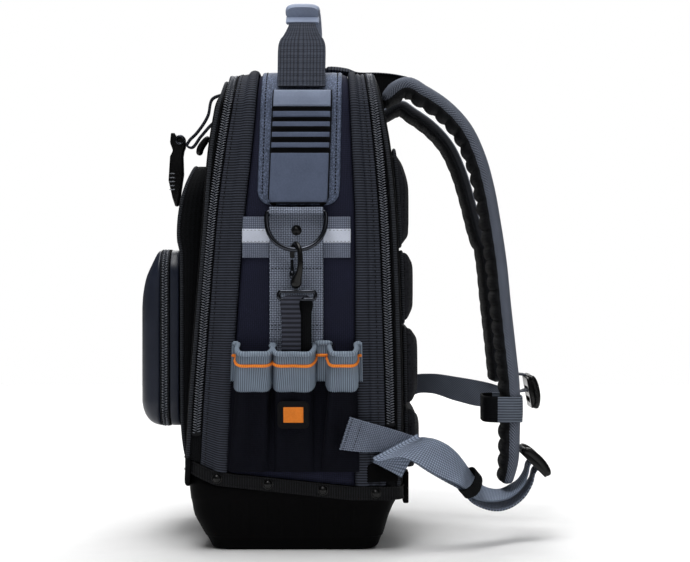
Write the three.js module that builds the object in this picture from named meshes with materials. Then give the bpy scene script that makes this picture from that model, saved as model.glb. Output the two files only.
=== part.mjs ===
// Tool backpack standing on a moulded base, in millimetres, +Z up.
// The moulded front case faces -Y, the wearer's back is +Y, the side with the hook is +X.
import * as THREE from 'three';

// Driving dimensions of the body
const GAP = 0.3; // clearance between pieces that touch
const CLOTH = 2.4; // cloth wall
const COVER_WALL = 3; // lined wall of the front and back covers
const WEBBING = 1.8; // webbing thickness
const BODY_HALF_WIDTH = 150;
const SHOULDER_HALF_WIDTH = 141; // half width where the top corners begin
const LEAN_START = 300; // height where the sides begin to lean in
const TOP_HEIGHT = 460;
const TOP_RADIUS = 42;
const CORNER_HEIGHT = TOP_HEIGHT - TOP_RADIUS;
const SIDE_HEIGHTS = [140, 220, LEAN_START, 345, 385, CORNER_HEIGHT];
const CORNER_ANGLES = [20, 40, 65, 90];

// Depth (Y) of the body's edges, zips and seams at each height, front to back
const SIDE_OUTLINE = [
  { z: 60, frontEdge: -108, frontZip: -97, frontSeam: -66, backSeam: 55, backZip: 90, backEdge: 101 },
  { z: 164, frontEdge: -103, frontZip: -92, frontSeam: -61, backSeam: 55, backZip: 88, backEdge: 101 },
  { z: 316, frontEdge: -91, frontZip: -81, frontSeam: -50, backSeam: 55, backZip: 83, backEdge: 96 },
  { z: 383, frontEdge: -86, frontZip: -73, frontSeam: -43, backSeam: 52, backZip: 78, backEdge: 90 },
  { z: 430, frontEdge: -79, frontZip: -66, frontSeam: -39, backSeam: 50, backZip: 73, backEdge: 82 },
  { z: 460, frontEdge: -74, frontZip: -62, frontSeam: -37, backSeam: 48, backZip: 69, backEdge: 77 },
];
const ZIP_HALF_WIDTH = 5;
const ZIP_LIFT = 1.5; // coil above the cloth
const FRONT_ZIP_END = 90;
const BACK_ZIP_END = 118;

// Base: moulded tray and the riveted band above it
const BAND_LOW_HEIGHT = 63; // top of the band at the back
const BAND_LOW_DEPTH = 52; // the band's top rises from here to the front
const BAND_SLOPE = 0.1075;
const BAND_HEIGHT = 13;
const BAND_WALL = 2;
const BASE_RADIUS = 18;
const RIVET_RADIUS = 4.4;
const RIVET_HEIGHT = 2.2;
const RIVET_DEPTHS = [-76, -27.5, 24.7, 75];
const TRAY_OUTER = [
  { z: 0, halfWidth: 130, front: -80, back: 72 },
  { z: 4, halfWidth: 134, front: -84, back: 78 },
  { z: 34, halfWidth: 143, front: -98, back: 88 },
  { z: 46, halfWidth: 145, front: -99, back: 93 },
];
const TRAY_RIM = { halfWidth: 149.2, front: -105.2, back: 99 };
const TRAY_WALL = 3;
const TRAY_FLOOR = 4;

// Front pocket and moulded case
const POCKET_FRAME = {
  halfWidth: 104, low: 84, high: 372, lowRadius: 14, highRadius: 34, bends: [120, 200, 280, 320],
};
const POCKET_FRONT = [
  { z: 84, y: -112.5 },
  { z: 120, y: -116 },
  { z: 280, y: -117.2 },
  { z: 320, y: -116 },
  { z: 350, y: -112.5 },
  { z: 372, y: -105 },
];
const POD_FRAME = { halfWidth: 92, low: 114, high: 289, lowRadius: 26, highRadius: 26 };
const POD_BACK = -117.7;
const POD_ZIP_BACK = -127;
const POD_LID_BACK = -137;
const POD_FRONT = -157;
const POD_WALL = 3;

// Back pads: heights and the depth of each pad's face
const PAD_HALF_WIDTH = 112;
const BACK_PADS = [
  { low: 292, high: 388, face: 106 },
  { low: 217, high: 287, face: 110.5 },
  { low: 138, high: 212, face: 114.8 },
  { low: 74, high: 133, face: 116.5 },
];

// Handle, its plates and the patch below them
const PATCH_WALL = 1.5;
const PATCH_LOW = 330;
const PATCH_EDGES = [
  { z: PATCH_LOW, front: -36, back: 44 },
  { z: TOP_HEIGHT, front: -31, back: 45 },
];
const PLATE = { front: -26.6, back: 35, low: 331, high: 440, lift: 6, grooveLift: 3.4 };
const PLATE_GROOVES = { count: 5, top: 423, pitch: 9.75, width: 4.3 };
const HANDLE_MID = 3.8; // middle of the handle across the depth
const HANDLE_STATIONS = [
  { x: 130, z: 461, width: 46, thick: 2.2 },
  { x: 118, z: 484, width: 46, thick: 2.4 },
  { x: 108, z: 498, width: 38, thick: 2.8 },
  { x: 98, z: 508, width: 28, thick: 3.6 },
  { x: 88, z: 515, width: 26, thick: 5 },
  { x: 54, z: 523, width: 26, thick: 6 },
  { x: 0, z: 526, width: 26, thick: 6 },
];
const GRIP = { halfLength: 90, width: 34, thick: 18, slack: 0.6 };

// Side webbing, ring and hook on the +X side
const STRIP = { front: -52, back: 51, low: 280, high: 319, wall: 1.5 };
const SIDE_WEBBING = { front: -26, back: 25, low: 203, high: 318.8, wall: 2 };
const RING = { y: -0.5, halfWidth: 28.1, height: 36.9, corner: 5, wire: 2.3, tilt: 14 };
const RING_BAR = { x: BODY_HALF_WIDTH + 7.1, z: 323.3 };
const HOOK_TURN = 60; // turn of the hook's plane from the side of the body, degrees
const HOOK_PATH = [
  { a: 0, z: 250.5, r: 3.2 },
  { a: 0, z: 254, r: 5 },
  { a: 1, z: 258, r: 5.2 },
  { a: 4.5, z: 263, r: 3.8 },
  { a: 7.6, z: 269, r: 2.8 },
  { a: 8.6, z: 280, r: 2.5 },
  { a: 6.2, z: 289.2, r: 2.4 },
  { a: 0.3, z: 293, r: 2.4 },
  { a: -5.6, z: 290.2, r: 2.4 },
  { a: -7.5, z: 284.5, r: 2.3 },
  { a: -7.6, z: 279.2, r: 2.1 },
];
const GATE_PATH = [
  { a: -6.4, z: 259.6, r: 1.6 },
  { a: -6.8, z: 261.5, r: 2.7 },
  { a: -7.4, z: 265.5, r: 2.8 },
  { a: -7.4, z: 268, r: 1.7 },
  { a: -7.6, z: 278.6, r: 1.5 },
];
const HOOK_EYE = { y: 0.5, halfWidth: 17.2, low: 240.8, high: 248.1, wire: 1.9, corner: 2.6 };
const LANYARD_WIDTH = 18;

// Side pockets: pleat lines across the side, at the mouth and at the base
const PLEATS = [
  { mouth: -63, base: -65.5, out: 0 },
  { mouth: -53, base: -63.6, out: 0.9 },
  { mouth: -40, base: -44, out: 1 },
  { mouth: -30.5, base: -30, out: 0.92 },
  { mouth: -28.4, base: -28.6, out: 0.15 },
  { mouth: -20.6, base: -20.4, out: 0.15 },
  { mouth: -18.5, base: -19, out: 0.92 },
  { mouth: -3, base: -4, out: 1 },
  { mouth: 15, base: 15, out: 0.94 },
  { mouth: 18.5, base: 18, out: 0 },
  { mouth: 31.5, base: 21.5, out: 0 },
  { mouth: 35, base: 24, out: 0.92 },
  { mouth: 45, base: 41, out: 1 },
  { mouth: 55, base: 58, out: 0.9 },
  { mouth: 61.5, base: 62.5, out: 0 },
];
const POCKET = { mouth: 200, dip: 9, middle: 118, base: 77, mouthReach: 22, baseReach: 2.5, wall: 1.6 };
const TRIM = { low: 163, wall: 1.2 };
const TAG = { front: -18, back: 12, low: 119, high: 145, wall: 2 };

// Shoulder pads: middle line in the side view, with the pad's width and thickness
const PAD_X = 75;
const ROOT_HEIGHT = 434;
const SHOULDER_LINE = [
  { y: 96, z: 444, width: 58, thick: 10 },
  { y: 106, z: 450, width: 62, thick: 16 },
  { y: 122, z: 442, width: 66, thick: 18 },
  { y: 144, z: 427, width: 68, thick: 18 },
  { y: 162, z: 407, width: 70, thick: 18 },
  { y: 175, z: 380, width: 70, thick: 18 },
  { y: 184, z: 348, width: 70, thick: 18 },
  { y: 190, z: 315, width: 70, thick: 18 },
  { y: 196, z: 275, width: 70, thick: 18 },
  { y: 200, z: 235, width: 70, thick: 18 },
  { y: 205, z: 190, width: 68, thick: 18 },
  { y: 209, z: 150, width: 66, thick: 18 },
  { y: 209, z: 110, width: 62, thick: 18 },
  { y: 208, z: 80, width: 56, thick: 17 },
  { y: 204, z: 58, width: 44, thick: 13 },
];
const LEFT_PAD_END = 112; // the left pad ends higher in the photograph's pose
const LIFTER_LINE = [
  { y: 28, z: 463.2 },
  { y: 46, z: 463.2 },
  { y: 60, z: 463.4 },
  { y: 78, z: 463.6 },
  { y: 96, z: 461.6 },
  { y: 108, z: 458.8 },
];
const LIFTER_WIDTH = 25;
const KEEPER = { low: 120, high: 145, slack: 0.5, wall: 2 };

// Ladder lock: a frame with two slots, in its own plane (along, through)
const LOCK = { width: 48, length: 34, thick: 5, slotWidth: 36, slots: [[-6, -0.7], [5.2, 10.5]] };
const LOCK_RIGHT = { x: 75, y: 232.2, z: 78.5, turn: -45 };
const LOCK_LEFT = { x: -84, y: 246, z: 138, turn: -80 };
const LOCK_TAB_LEFT = [
  { low: [-100, 218.7, 160], high: [-68, 218.7, 160] },
  { low: [-100, 230, 157.4], high: [-68, 230, 157.4] },
  { low: [-100, 241.5, 156.3], high: [-68, 241.5, 156.3] },
];

// Lower straps: both edges of the webbing at each section, as (x, y, z)
const STRAP_RIGHT = [
  { low: [151.6, 72.1, 86.7], high: [151.6, 99.4, 71.6] },
  { low: [154.9, 73.4, 88.2], high: [156.3, 115.5, 110.3] },
  { low: [158.6, 72.1, 90.6], high: [159.2, 114.4, 113.1] },
  { low: [162.2, 73.4, 88.4], high: [162.6, 115.5, 110.9] },
  { low: [167, 98.5, 92.1], high: [160, 120.9, 110.5] },
  { low: [169, 112.6, 87.1], high: [156, 128.9, 108.9] },
  { low: [163, 128.5, 77.1], high: [153, 139, 104.7] },
  { low: [156, 143, 69.6], high: [144, 148, 97.8] },
  { low: [152, 155.4, 63.7], high: [130, 159, 84.9] },
  { low: [145, 163, 56.5], high: [119, 167.8, 72.1] },
  { low: [136, 170.8, 49.6], high: [108, 176.7, 60.5] },
  { low: [126, 181.7, 46], high: [96, 186.4, 54.5] },
  { low: [117, 191.9, 44.6], high: [87, 196.1, 52.2] },
  { low: [103, 209.3, 47.8], high: [73, 209.3, 54.9] },
  { low: [95, 221.4, 58.5], high: [63, 220.2, 61] },
  { low: [91, 225.8, 69], high: [59, 225.6, 69.4] },
  { low: [91, 227.8, 77.2], high: [59, 227.8, 77.2] },
  { low: [91, 230.6, 80.1], high: [59, 230.6, 80.1] },
  { low: [91, 233.1, 82.2], high: [59, 233.1, 82.2] },
  { low: [91, 236.6, 79.7], high: [59, 236.6, 79.7] },
];
const TAIL_RIGHT = [
  { low: [91, 237.1, 79.2], high: [59, 237.1, 79.2] },
  { low: [91, 239.2, 76.1], high: [59, 239.2, 76.1] },
  { low: [91, 236.9, 73.8], high: [59, 236.9, 73.8] },
  { low: [91, 233.4, 70.2], high: [59, 233.4, 70.2] },
  { low: [92, 230, 59], high: [60, 231, 62] },
  { low: [96, 221.8, 46], high: [64, 221.6, 52] },
  { low: [104, 209.2, 37.5], high: [72, 209.4, 46.5] },
  { low: [115, 195, 35], high: [83, 196.4, 44.5] },
  { low: [124, 183, 37.5], high: [93, 186, 47] },
  { low: [133, 169, 44.5], high: [103, 174.5, 55] },
  { low: [146.6, 153.6, 60.4], high: [124.5, 157, 81] },
  { low: [148, 139.4, 68], high: [135.8, 144.4, 95.5] },
  { low: [150, 124, 77], high: [145.2, 134.2, 105.5] },
  { low: [150.6, 105.4, 88.6], high: [151.7, 117.8, 109] },
  { low: [151.4, 83.1, 95.4], high: [153.2, 92.8, 116.9] },
  { low: [158, 62, 96.3], high: [160, 70.6, 123.8] },
  { low: [166, 40.2, 99.5], high: [168.5, 50.1, 130.5] },
];
const STRAP_LEFT = [
  { low: [-151.6, 98, 72], high: [-151.6, 74, 92] },
  { low: [-152.5, 112, 96], high: [-152.5, 95, 118] },
  { low: [-146, 124, 130], high: [-142, 117, 150] },
  { low: [-131, 141, 133], high: [-122, 141, 155] },
  { low: [-117, 170, 125], high: [-108, 170, 152] },
  { low: [-107, 200, 120], high: [-97, 200, 147] },
  { low: [-103, 222, 127], high: [-76, 222, 141] },
  { low: [-100, 236, 137], high: [-68, 236, 138.6] },
  { low: [-100, 241.7, 139.5], high: [-68, 241.7, 139.5] },
  { low: [-100, 245.6, 140.2], high: [-68, 245.6, 140.2] },
  { low: [-100, 248.9, 140.4], high: [-68, 248.9, 140.4] },
  { low: [-100, 250.3, 136.5], high: [-68, 250.3, 136.5] },
];
const CORNER_TAB = [[64, 66.5], [98.5, 68.2], [98.5, 70.6], [71.6, 85.6], [64, 80]];
const TAB_WALL = 1.6;
const TONGUE = { x: 108, halfWidth: 12, front: 101.8, back: 107.2, low: 43, high: 73.6 };

// Hanging clip at the front
const TETHER_X = 40;
const TETHER_HALF_WIDTH = 5;
const TETHER_LINE = [
  { y: -77, z: 447.5 },
  { y: -88.5, z: 443 },
  { y: -93.5, z: 425.5 },
  { y: -105.6, z: 407.2 },
  { y: -113, z: 399.4 },
  { y: -114.8, z: 395.3 },
  { y: -111.6, z: 393.2 },
  { y: -100.6, z: 404.6 },
  { y: -90, z: 416.5 },
  { y: -84.5, z: 421 },
];
const TETHER_THICK = 2.4;
const CLIP_OUTLINE = [
  [-116.2, 402], [-118, 405.5], [-122, 406], [-124.5, 402.5], [-126.5, 408], [-130.5, 408], [-131.5, 398],
  [-128.5, 390], [-131.5, 384], [-133, 360], [-129, 342], [-126, 333], [-122.5, 335], [-120, 352],
  [-118, 366], [-118.6, 384], [-117.6, 390], [-116.2, 393],
];
const CLIP_HALF_WIDTH = 7;

const RIGHT = 1;
const LEFT = -1;

// Reading of tables and body surface

/** Reads a column of a table, sorted by its key column, with straight lines between rows. */
function read(table, key, column, at) {
  const above = table.findIndex((row) => row[key] >= at);
  if (above === 0) return table[0][column];
  if (above < 0) return table[table.length - 1][column];
  const low = table[above - 1];
  const high = table[above];
  return THREE.MathUtils.mapLinear(at, low[key], high[key], low[column], high[column]);
}

const outline = (column, shift = 0) => (z) => read(SIDE_OUTLINE, 'z', column, z) + shift;
const bandTop = (y) => BAND_LOW_HEIGHT + BAND_SLOPE * Math.max(0, BAND_LOW_DEPTH - y);
const aboveBand = (y) => bandTop(y) + GAP;
const radians = THREE.MathUtils.degToRad;

/** Outer skin of the body on the +X side at a height, with the direction it faces. */
function sidePoint(z) {
  const drop = BODY_HALF_WIDTH - SHOULDER_HALF_WIDTH;
  const lean = Math.max(0, Math.min(1, (z - LEAN_START) / (CORNER_HEIGHT - LEAN_START)));
  const leanAngle = Math.atan((2 * drop * lean) / (CORNER_HEIGHT - LEAN_START));
  if (z <= CORNER_HEIGHT) return { x: BODY_HALF_WIDTH - drop * lean ** 2, angle: leanAngle };
  const angle = Math.asin(Math.min(1, (z - CORNER_HEIGHT) / TOP_RADIUS));
  const x = SHOULDER_HALF_WIDTH - TOP_RADIUS * (1 - Math.cos(angle));
  return { x, angle: Math.max(angle, leanAngle) };
}

/** Point of the body's skin, lifted off it along its outward direction. */
function bodyPoint(side, z, y, lift) {
  const { x, angle } = sidePoint(z);
  return new THREE.Vector3(side * (x + lift * Math.cos(angle)), y, z + lift * Math.sin(angle));
}

/** Heights of the sections over the arch of the body, from one lower end to the other. */
function archSections(bottom) {
  const corner = CORNER_ANGLES.map((angle) => CORNER_HEIGHT + TOP_RADIUS * Math.sin(radians(angle)));
  const heights = [bottom, ...SIDE_HEIGHTS.filter((z) => z > bottom + 1), ...corner];
  const right = heights.map((z) => ({ side: RIGHT, z }));
  const left = heights.map((z) => ({ side: LEFT, z })).reverse();
  return [...right, ...left];
}

// Solids

/** Closed geometry with its faces turned outwards. */
function solid(points, triangles) {
  const cross = new THREE.Vector3();
  const volume = triangles.reduce((sum, [a, b, c]) => {
    return sum + points[a].dot(cross.crossVectors(points[b], points[c]));
  }, 0);
  const turned = volume < 0 ? triangles.map(([a, b, c]) => [a, c, b]) : triangles;
  const geometry = new THREE.BufferGeometry().setFromPoints(points);
  geometry.setIndex(turned.flat());
  geometry.computeVertexNormals();
  return geometry;
}

/** Triangles between successive loops that have the same number of points. */
function skin(loops, joined) {
  const count = loops[0].length;
  const triangles = [];
  for (let row = 0; row < loops.length - (joined ? 0 : 1); row += 1) {
    const next = ((row + 1) % loops.length) * count;
    for (let i = 0; i < count; i += 1) {
      const j = (i + 1) % count;
      const [a, b, c, d] = [row * count + i, row * count + j, next + j, next + i];
      // Both faces of a twisted wall are cut along the same diagonal
      if (i < count / 2) triangles.push([a, b, c], [a, c, d]);
      else triangles.push([a, b, d], [b, c, d]);
    }
  }
  return triangles;
}

/** Solid through loops, closed by a strip across the first and the last one. */
function loft(loops) {
  const triangles = skin(loops, false);
  const count = loops[0].length;
  const start = (loops.length - 1) * count;
  for (let i = 0; i < count / 2 - 1; i += 1) {
    const far = count - 1 - i;
    triangles.push([i + 1, i, far], [i + 1, far, far - 1]);
    triangles.push([start + i, start + i + 1, start + far], [start + i + 1, start + far - 1, start + far]);
  }
  return solid(loops.flat(), triangles);
}

/** Ring-shaped solid: its last loop joins the first. */
function ring(loops) {
  return solid(loops.flat(), skin(loops, true));
}

/** Thin wall from rows that each hold an outer and an inner line of points. */
function wall(rows) {
  return loft(rows.map(({ outer, inner }) => [...outer, ...inner.slice().reverse()]));
}

/** The same piece on the other side of the body. */
function mirrored(geometry) {
  const copy = geometry.clone().applyMatrix4(new THREE.Matrix4().makeScale(-1, 1, 1));
  const index = copy.getIndex().array;
  for (let i = 0; i < index.length; i += 3) {
    [index[i + 1], index[i + 2]] = [index[i + 2], index[i + 1]];
  }
  copy.computeVertexNormals();
  return copy;
}

/** Box between two corners. */
function block(low, high) {
  const rows = [low[2], high[2]].map((z) => ({
    outer: [new THREE.Vector3(high[0], low[1], z), new THREE.Vector3(high[0], high[1], z)],
    inner: [new THREE.Vector3(low[0], low[1], z), new THREE.Vector3(low[0], high[1], z)],
  }));
  return wall(rows);
}

/** Points of a rectangle with round corners, as pairs. */
function roundRect([uLow, uHigh], [vLow, vHigh], lowRadius, highRadius, segments = 3) {
  const corners = [
    [uHigh, vLow, -1, 1, lowRadius, 270],
    [uHigh, vHigh, -1, -1, highRadius, 0],
    [uLow, vHigh, 1, -1, highRadius, 90],
    [uLow, vLow, 1, 1, lowRadius, 180],
  ];
  return corners.flatMap(([u, v, du, dv, radius, start]) => {
    return Array.from({ length: segments + 1 }, (_, i) => {
      const angle = radians(start + (90 * i) / segments);
      return [u + radius * (du + Math.cos(angle)), v + radius * (dv + Math.sin(angle))];
    });
  });
}

/** Loop of a front frame, drawn in by an inset, at a depth that may follow the height. */
function frameLoop(frame, inset, depth) {
  const across = [-frame.halfWidth + inset, frame.halfWidth - inset];
  const up = [frame.low + inset, frame.high - inset];
  const lowRadius = Math.max(frame.lowRadius - inset, 2);
  const highRadius = Math.max(frame.highRadius - inset, 2);
  const points = roundRect(across, up, lowRadius, highRadius);
  // A frame whose face bends has more points up both sides
  const heights = frame.bends ?? [];
  const quarter = points.length / 4;
  points.splice(3 * quarter, 0, ...heights.slice().reverse().map((z) => [across[0], z]));
  points.splice(quarter, 0, ...heights.map((z) => [across[1], z]));
  return points.map(([x, z]) => new THREE.Vector3(x, depth(z), z));
}

/** Level loop round the base, with a height that may follow the depth. */
function baseLoop({ halfWidth, front, back }, inset, height) {
  const across = [-halfWidth + inset, halfWidth - inset];
  const corners = roundRect(across, [front + inset, back - inset], BASE_RADIUS - inset, BASE_RADIUS - inset);
  // The band's line bends on both sides, so each side has a point there
  const quarter = corners.length / 4;
  corners.splice(3 * quarter, 0, [across[0], BAND_LOW_DEPTH]);
  corners.splice(quarter, 0, [across[1], BAND_LOW_DEPTH]);
  return corners.map(([x, y]) => new THREE.Vector3(x, y, height(y)));
}

/** Wall over the arch of the body, between two depths that follow the height. */
function archWall({ bottom, from, to, lift = 0, thick = CLOTH }) {
  const sections = archSections(bottom(0));
  const rows = sections.map(({ side, z }, index) => {
    const atEnd = index === 0 || index === sections.length - 1;
    const line = (offset) => [from(z) + GAP / 2, to(z) - GAP / 2].map((y) => {
      return bodyPoint(side, atEnd ? bottom(y) : z, y, offset);
    });
    return { outer: line(lift), inner: line(lift - thick) };
  });
  return wall(rows);
}

/** Loop round the body at a depth, drawn in from its skin. */
function bodyLoop(bottom, inset, depth) {
  return archSections(bottom).map(({ side, z }) => {
    const point = bodyPoint(side, Math.max(z, bottom + inset), 0, -inset);
    return point.setY(depth(point.z));
  });
}

/** Webbing between two edges, a row of both edges for each section. */
function ribbon(rows, thick) {
  const edges = rows.map(({ low, high }) => [new THREE.Vector3(...low), new THREE.Vector3(...high)]);
  const middles = edges.map(([low, high]) => low.clone().add(high).multiplyScalar(0.5));
  const sections = edges.map(([low, high], i) => {
    const before = middles[Math.max(0, i - 1)];
    const after = middles[Math.min(middles.length - 1, i + 1)];
    const face = after.clone().sub(before).cross(high.clone().sub(low)).setLength(thick / 2);
    return {
      outer: [low.clone().add(face), high.clone().add(face)],
      inner: [low.clone().sub(face), high.clone().sub(face)],
    };
  });
  return wall(sections);
}

/** Round rod through points of one plane, with a radius for each point. */
function rod(points, radii, planeNormal, joined = false, sides = 8) {
  const last = points.length - 1;
  const loops = points.map((point, i) => {
    const before = points[i === 0 ? (joined ? last : 0) : i - 1];
    const after = points[i === last ? (joined ? 0 : last) : i + 1];
    const across = after.clone().sub(before).cross(planeNormal).normalize();
    return Array.from({ length: sides }, (_, k) => {
      const angle = (2 * Math.PI * (k + 0.5)) / sides;
      const out = across.clone().multiplyScalar(radii[i] * Math.cos(angle));
      return point.clone().add(out).addScaledVector(planeNormal, radii[i] * Math.sin(angle));
    });
  });
  return joined ? ring(loops) : loft(loops);
}

/** Section of a strap pad: a rectangle with cut corners across a line of the side view. */
function padLoop(stations, i, x, grow = 0) {
  const before = stations[Math.max(0, i - 1)];
  const after = stations[Math.min(stations.length - 1, i + 1)];
  const length = Math.hypot(after.y - before.y, after.z - before.z);
  const normal = [-(after.z - before.z) / length, (after.y - before.y) / length];
  const { y, z, width, thick } = stations[i];
  const halfWidth = width / 2 + grow;
  const halfThick = thick / 2 + grow;
  const cut = halfThick * 0.55;
  const corners = [
    [halfWidth, halfThick - cut], [halfWidth - cut, halfThick], [cut - halfWidth, halfThick],
    [-halfWidth, halfThick - cut], [-halfWidth, cut - halfThick], [cut - halfWidth, -halfThick],
    [halfWidth - cut, -halfThick], [halfWidth, cut - halfThick],
  ];
  return corners.map(([a, n]) => new THREE.Vector3(x + a, y + n * normal[0], z + n * normal[1]));
}

/** Flat plate from an outline in the side view, between two planes across the body. */
function sidePlate(points, low, high) {
  const shape = new THREE.Shape(points.map(([y, z]) => new THREE.Vector2(y, z)));
  const plate = new THREE.ExtrudeGeometry(shape, { depth: high - low, bevelEnabled: false });
  const axes = new THREE.Matrix4().makeBasis(
    new THREE.Vector3(0, 1, 0), new THREE.Vector3(0, 0, 1), new THREE.Vector3(1, 0, 0));
  return plate.applyMatrix4(axes).translate(low, 0, 0);
}

// Materials
const finish = (color, roughness, metalness = 0) => new THREE.MeshStandardMaterial({ color, roughness, metalness });
const NAVY_CLOTH = finish(0x20222e, 0.9);
const BLACK_CLOTH = finish(0x1a1b1f, 0.85);
const BLACK_PLASTIC = finish(0x0d0d0e, 0.5);
const MOULDED_FOAM = finish(0x20242f, 0.45);
const GRAINED_PATCH = finish(0x4b5261, 0.6);
const SLATE_RUBBER = finish(0x50586a, 0.65);
const GREY_WEBBING = finish(0x6e737d, 0.85);
const DARK_WEBBING = finish(0x3c3f47, 0.85);
const BRIGHT_TAPE = finish(0xc9cbd8, 0.4);
const ELASTIC = finish(0x8b9097, 0.9);
const ORANGE_RUBBER = finish(0xf07a24, 0.6);
const GUNMETAL = finish(0x3c3f46, 0.3, 1);
const STRAP_CLOTH = finish(0x3a3e45, 0.85);

const backpack = new THREE.Group();

/** Adds a named piece to a group. */
function piece(group, name, geometry, material) {
  const mesh = new THREE.Mesh(geometry, material);
  mesh.name = name;
  group.add(mesh);
  return mesh;
}

/** Moulded base, band and rivets. */
function buildBase() {
  const group = new THREE.Group();
  const rimHeight = (y) => bandTop(y) - GAP;
  const level = (z) => () => z;
  const outer = TRAY_OUTER.map((row) => baseLoop(row, 0, level(row.z)));
  const inner = TRAY_OUTER.slice(1).map((row) => baseLoop(row, TRAY_WALL, level(row.z + TRAY_FLOOR - 2)));
  const rim = [baseLoop(TRAY_RIM, TRAY_WALL, rimHeight), baseLoop(TRAY_RIM, 0, rimHeight)];
  piece(group, 'base_tray', loft([...inner, ...rim, ...outer.reverse()]), BLACK_PLASTIC);

  const bandInner = {
    halfWidth: TRAY_RIM.halfWidth + GAP,
    front: TRAY_RIM.front - GAP,
    back: TRAY_RIM.back + GAP,
  };
  const bandLow = (y) => bandTop(y) - BAND_HEIGHT;
  const band = ring([
    baseLoop(bandInner, 0, bandLow), baseLoop(bandInner, 0, bandTop),
    baseLoop(bandInner, -BAND_WALL, bandTop), baseLoop(bandInner, -BAND_WALL, bandLow),
  ]);
  piece(group, 'base_band', band, BLACK_CLOTH);

  const profile = [[0, 0], [RIVET_RADIUS, 0], [RIVET_RADIUS * 0.8, RIVET_HEIGHT * 0.7], [0, RIVET_HEIGHT]];
  const dome = new THREE.LatheGeometry(profile.map(([r, h]) => new THREE.Vector2(r, h)), 8);
  const face = bandInner.halfWidth + BAND_WALL + GAP;
  for (const [sideName, side] of [['right', RIGHT], ['left', LEFT]]) {
    RIVET_DEPTHS.forEach((y, index) => {
      const rivet = piece(group, `rivet_${sideName}_${index + 1}`, dome, BLACK_PLASTIC);
      rivet.position.set(side * face, y, bandTop(y) - BAND_HEIGHT / 2);
      rivet.rotation.z = -side * Math.PI / 2;
    });
  }
  return group;
}

/** Cloth arch of the body with its zips and the two covers. */
function buildBody() {
  const group = new THREE.Group();
  const zipEnd = (z) => () => z;
  const arches = [
    ['centre_panel', 'frontSeam', 0, 'backSeam', 0, NAVY_CLOTH],
    ['front_gusset', 'frontZip', ZIP_HALF_WIDTH, 'frontSeam', 0, BLACK_CLOTH],
    ['back_gusset', 'backSeam', 0, 'backZip', -ZIP_HALF_WIDTH, BLACK_CLOTH],
  ];
  for (const [name, from, fromShift, to, toShift, material] of arches) {
    const arch = archWall({ bottom: aboveBand, from: outline(from, fromShift), to: outline(to, toShift) });
    piece(group, name, arch, material);
  }
  for (const [name, column, end] of [['front_zip', 'frontZip', FRONT_ZIP_END], ['back_zip', 'backZip', BACK_ZIP_END]]) {
    const from = outline(column, GAP - ZIP_HALF_WIDTH);
    const to = outline(column, ZIP_HALF_WIDTH - GAP);
    const coil = archWall({ bottom: zipEnd(end), from, to, lift: ZIP_LIFT, thick: CLOTH + ZIP_LIFT });
    piece(group, name, coil, BLACK_PLASTIC);
  }
  const covers = [
    ['front_cover', 'frontEdge', 'frontZip', 1, aboveBand(-108), 7],
    ['back_cover', 'backEdge', 'backZip', -1, aboveBand(101), 7.6],
  ];
  for (const [name, edge, zip, inward, bottom, corner] of covers) {
    const rim = outline(zip, -inward * (ZIP_HALF_WIDTH + GAP / 2));
    const loops = [
      bodyLoop(bottom, 60, outline(edge, inward * COVER_WALL)),
      bodyLoop(bottom, 9 + COVER_WALL, outline(edge, inward * COVER_WALL)),
      bodyLoop(bottom, COVER_WALL, outline(edge, inward * corner)),
      bodyLoop(bottom, COVER_WALL, rim),
      bodyLoop(bottom, 0, rim),
      bodyLoop(bottom, 0, outline(edge, inward * 6)),
      bodyLoop(bottom, 3, outline(edge, inward * 1.5)),
      bodyLoop(bottom, 9, outline(edge)),
      bodyLoop(bottom, 60, outline(edge)),
    ];
    piece(group, name, loft(loops), BLACK_CLOTH);
  }
  const patchEdge = (column) => (z) => read(PATCH_EDGES, 'z', column, z);
  const patch = archWall({
    bottom: () => PATCH_LOW,
    from: patchEdge('front'),
    to: patchEdge('back'),
    lift: GAP + PATCH_WALL,
    thick: PATCH_WALL,
  });
  piece(group, 'top_patch', patch, GRAINED_PATCH);
  return group;
}

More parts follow.
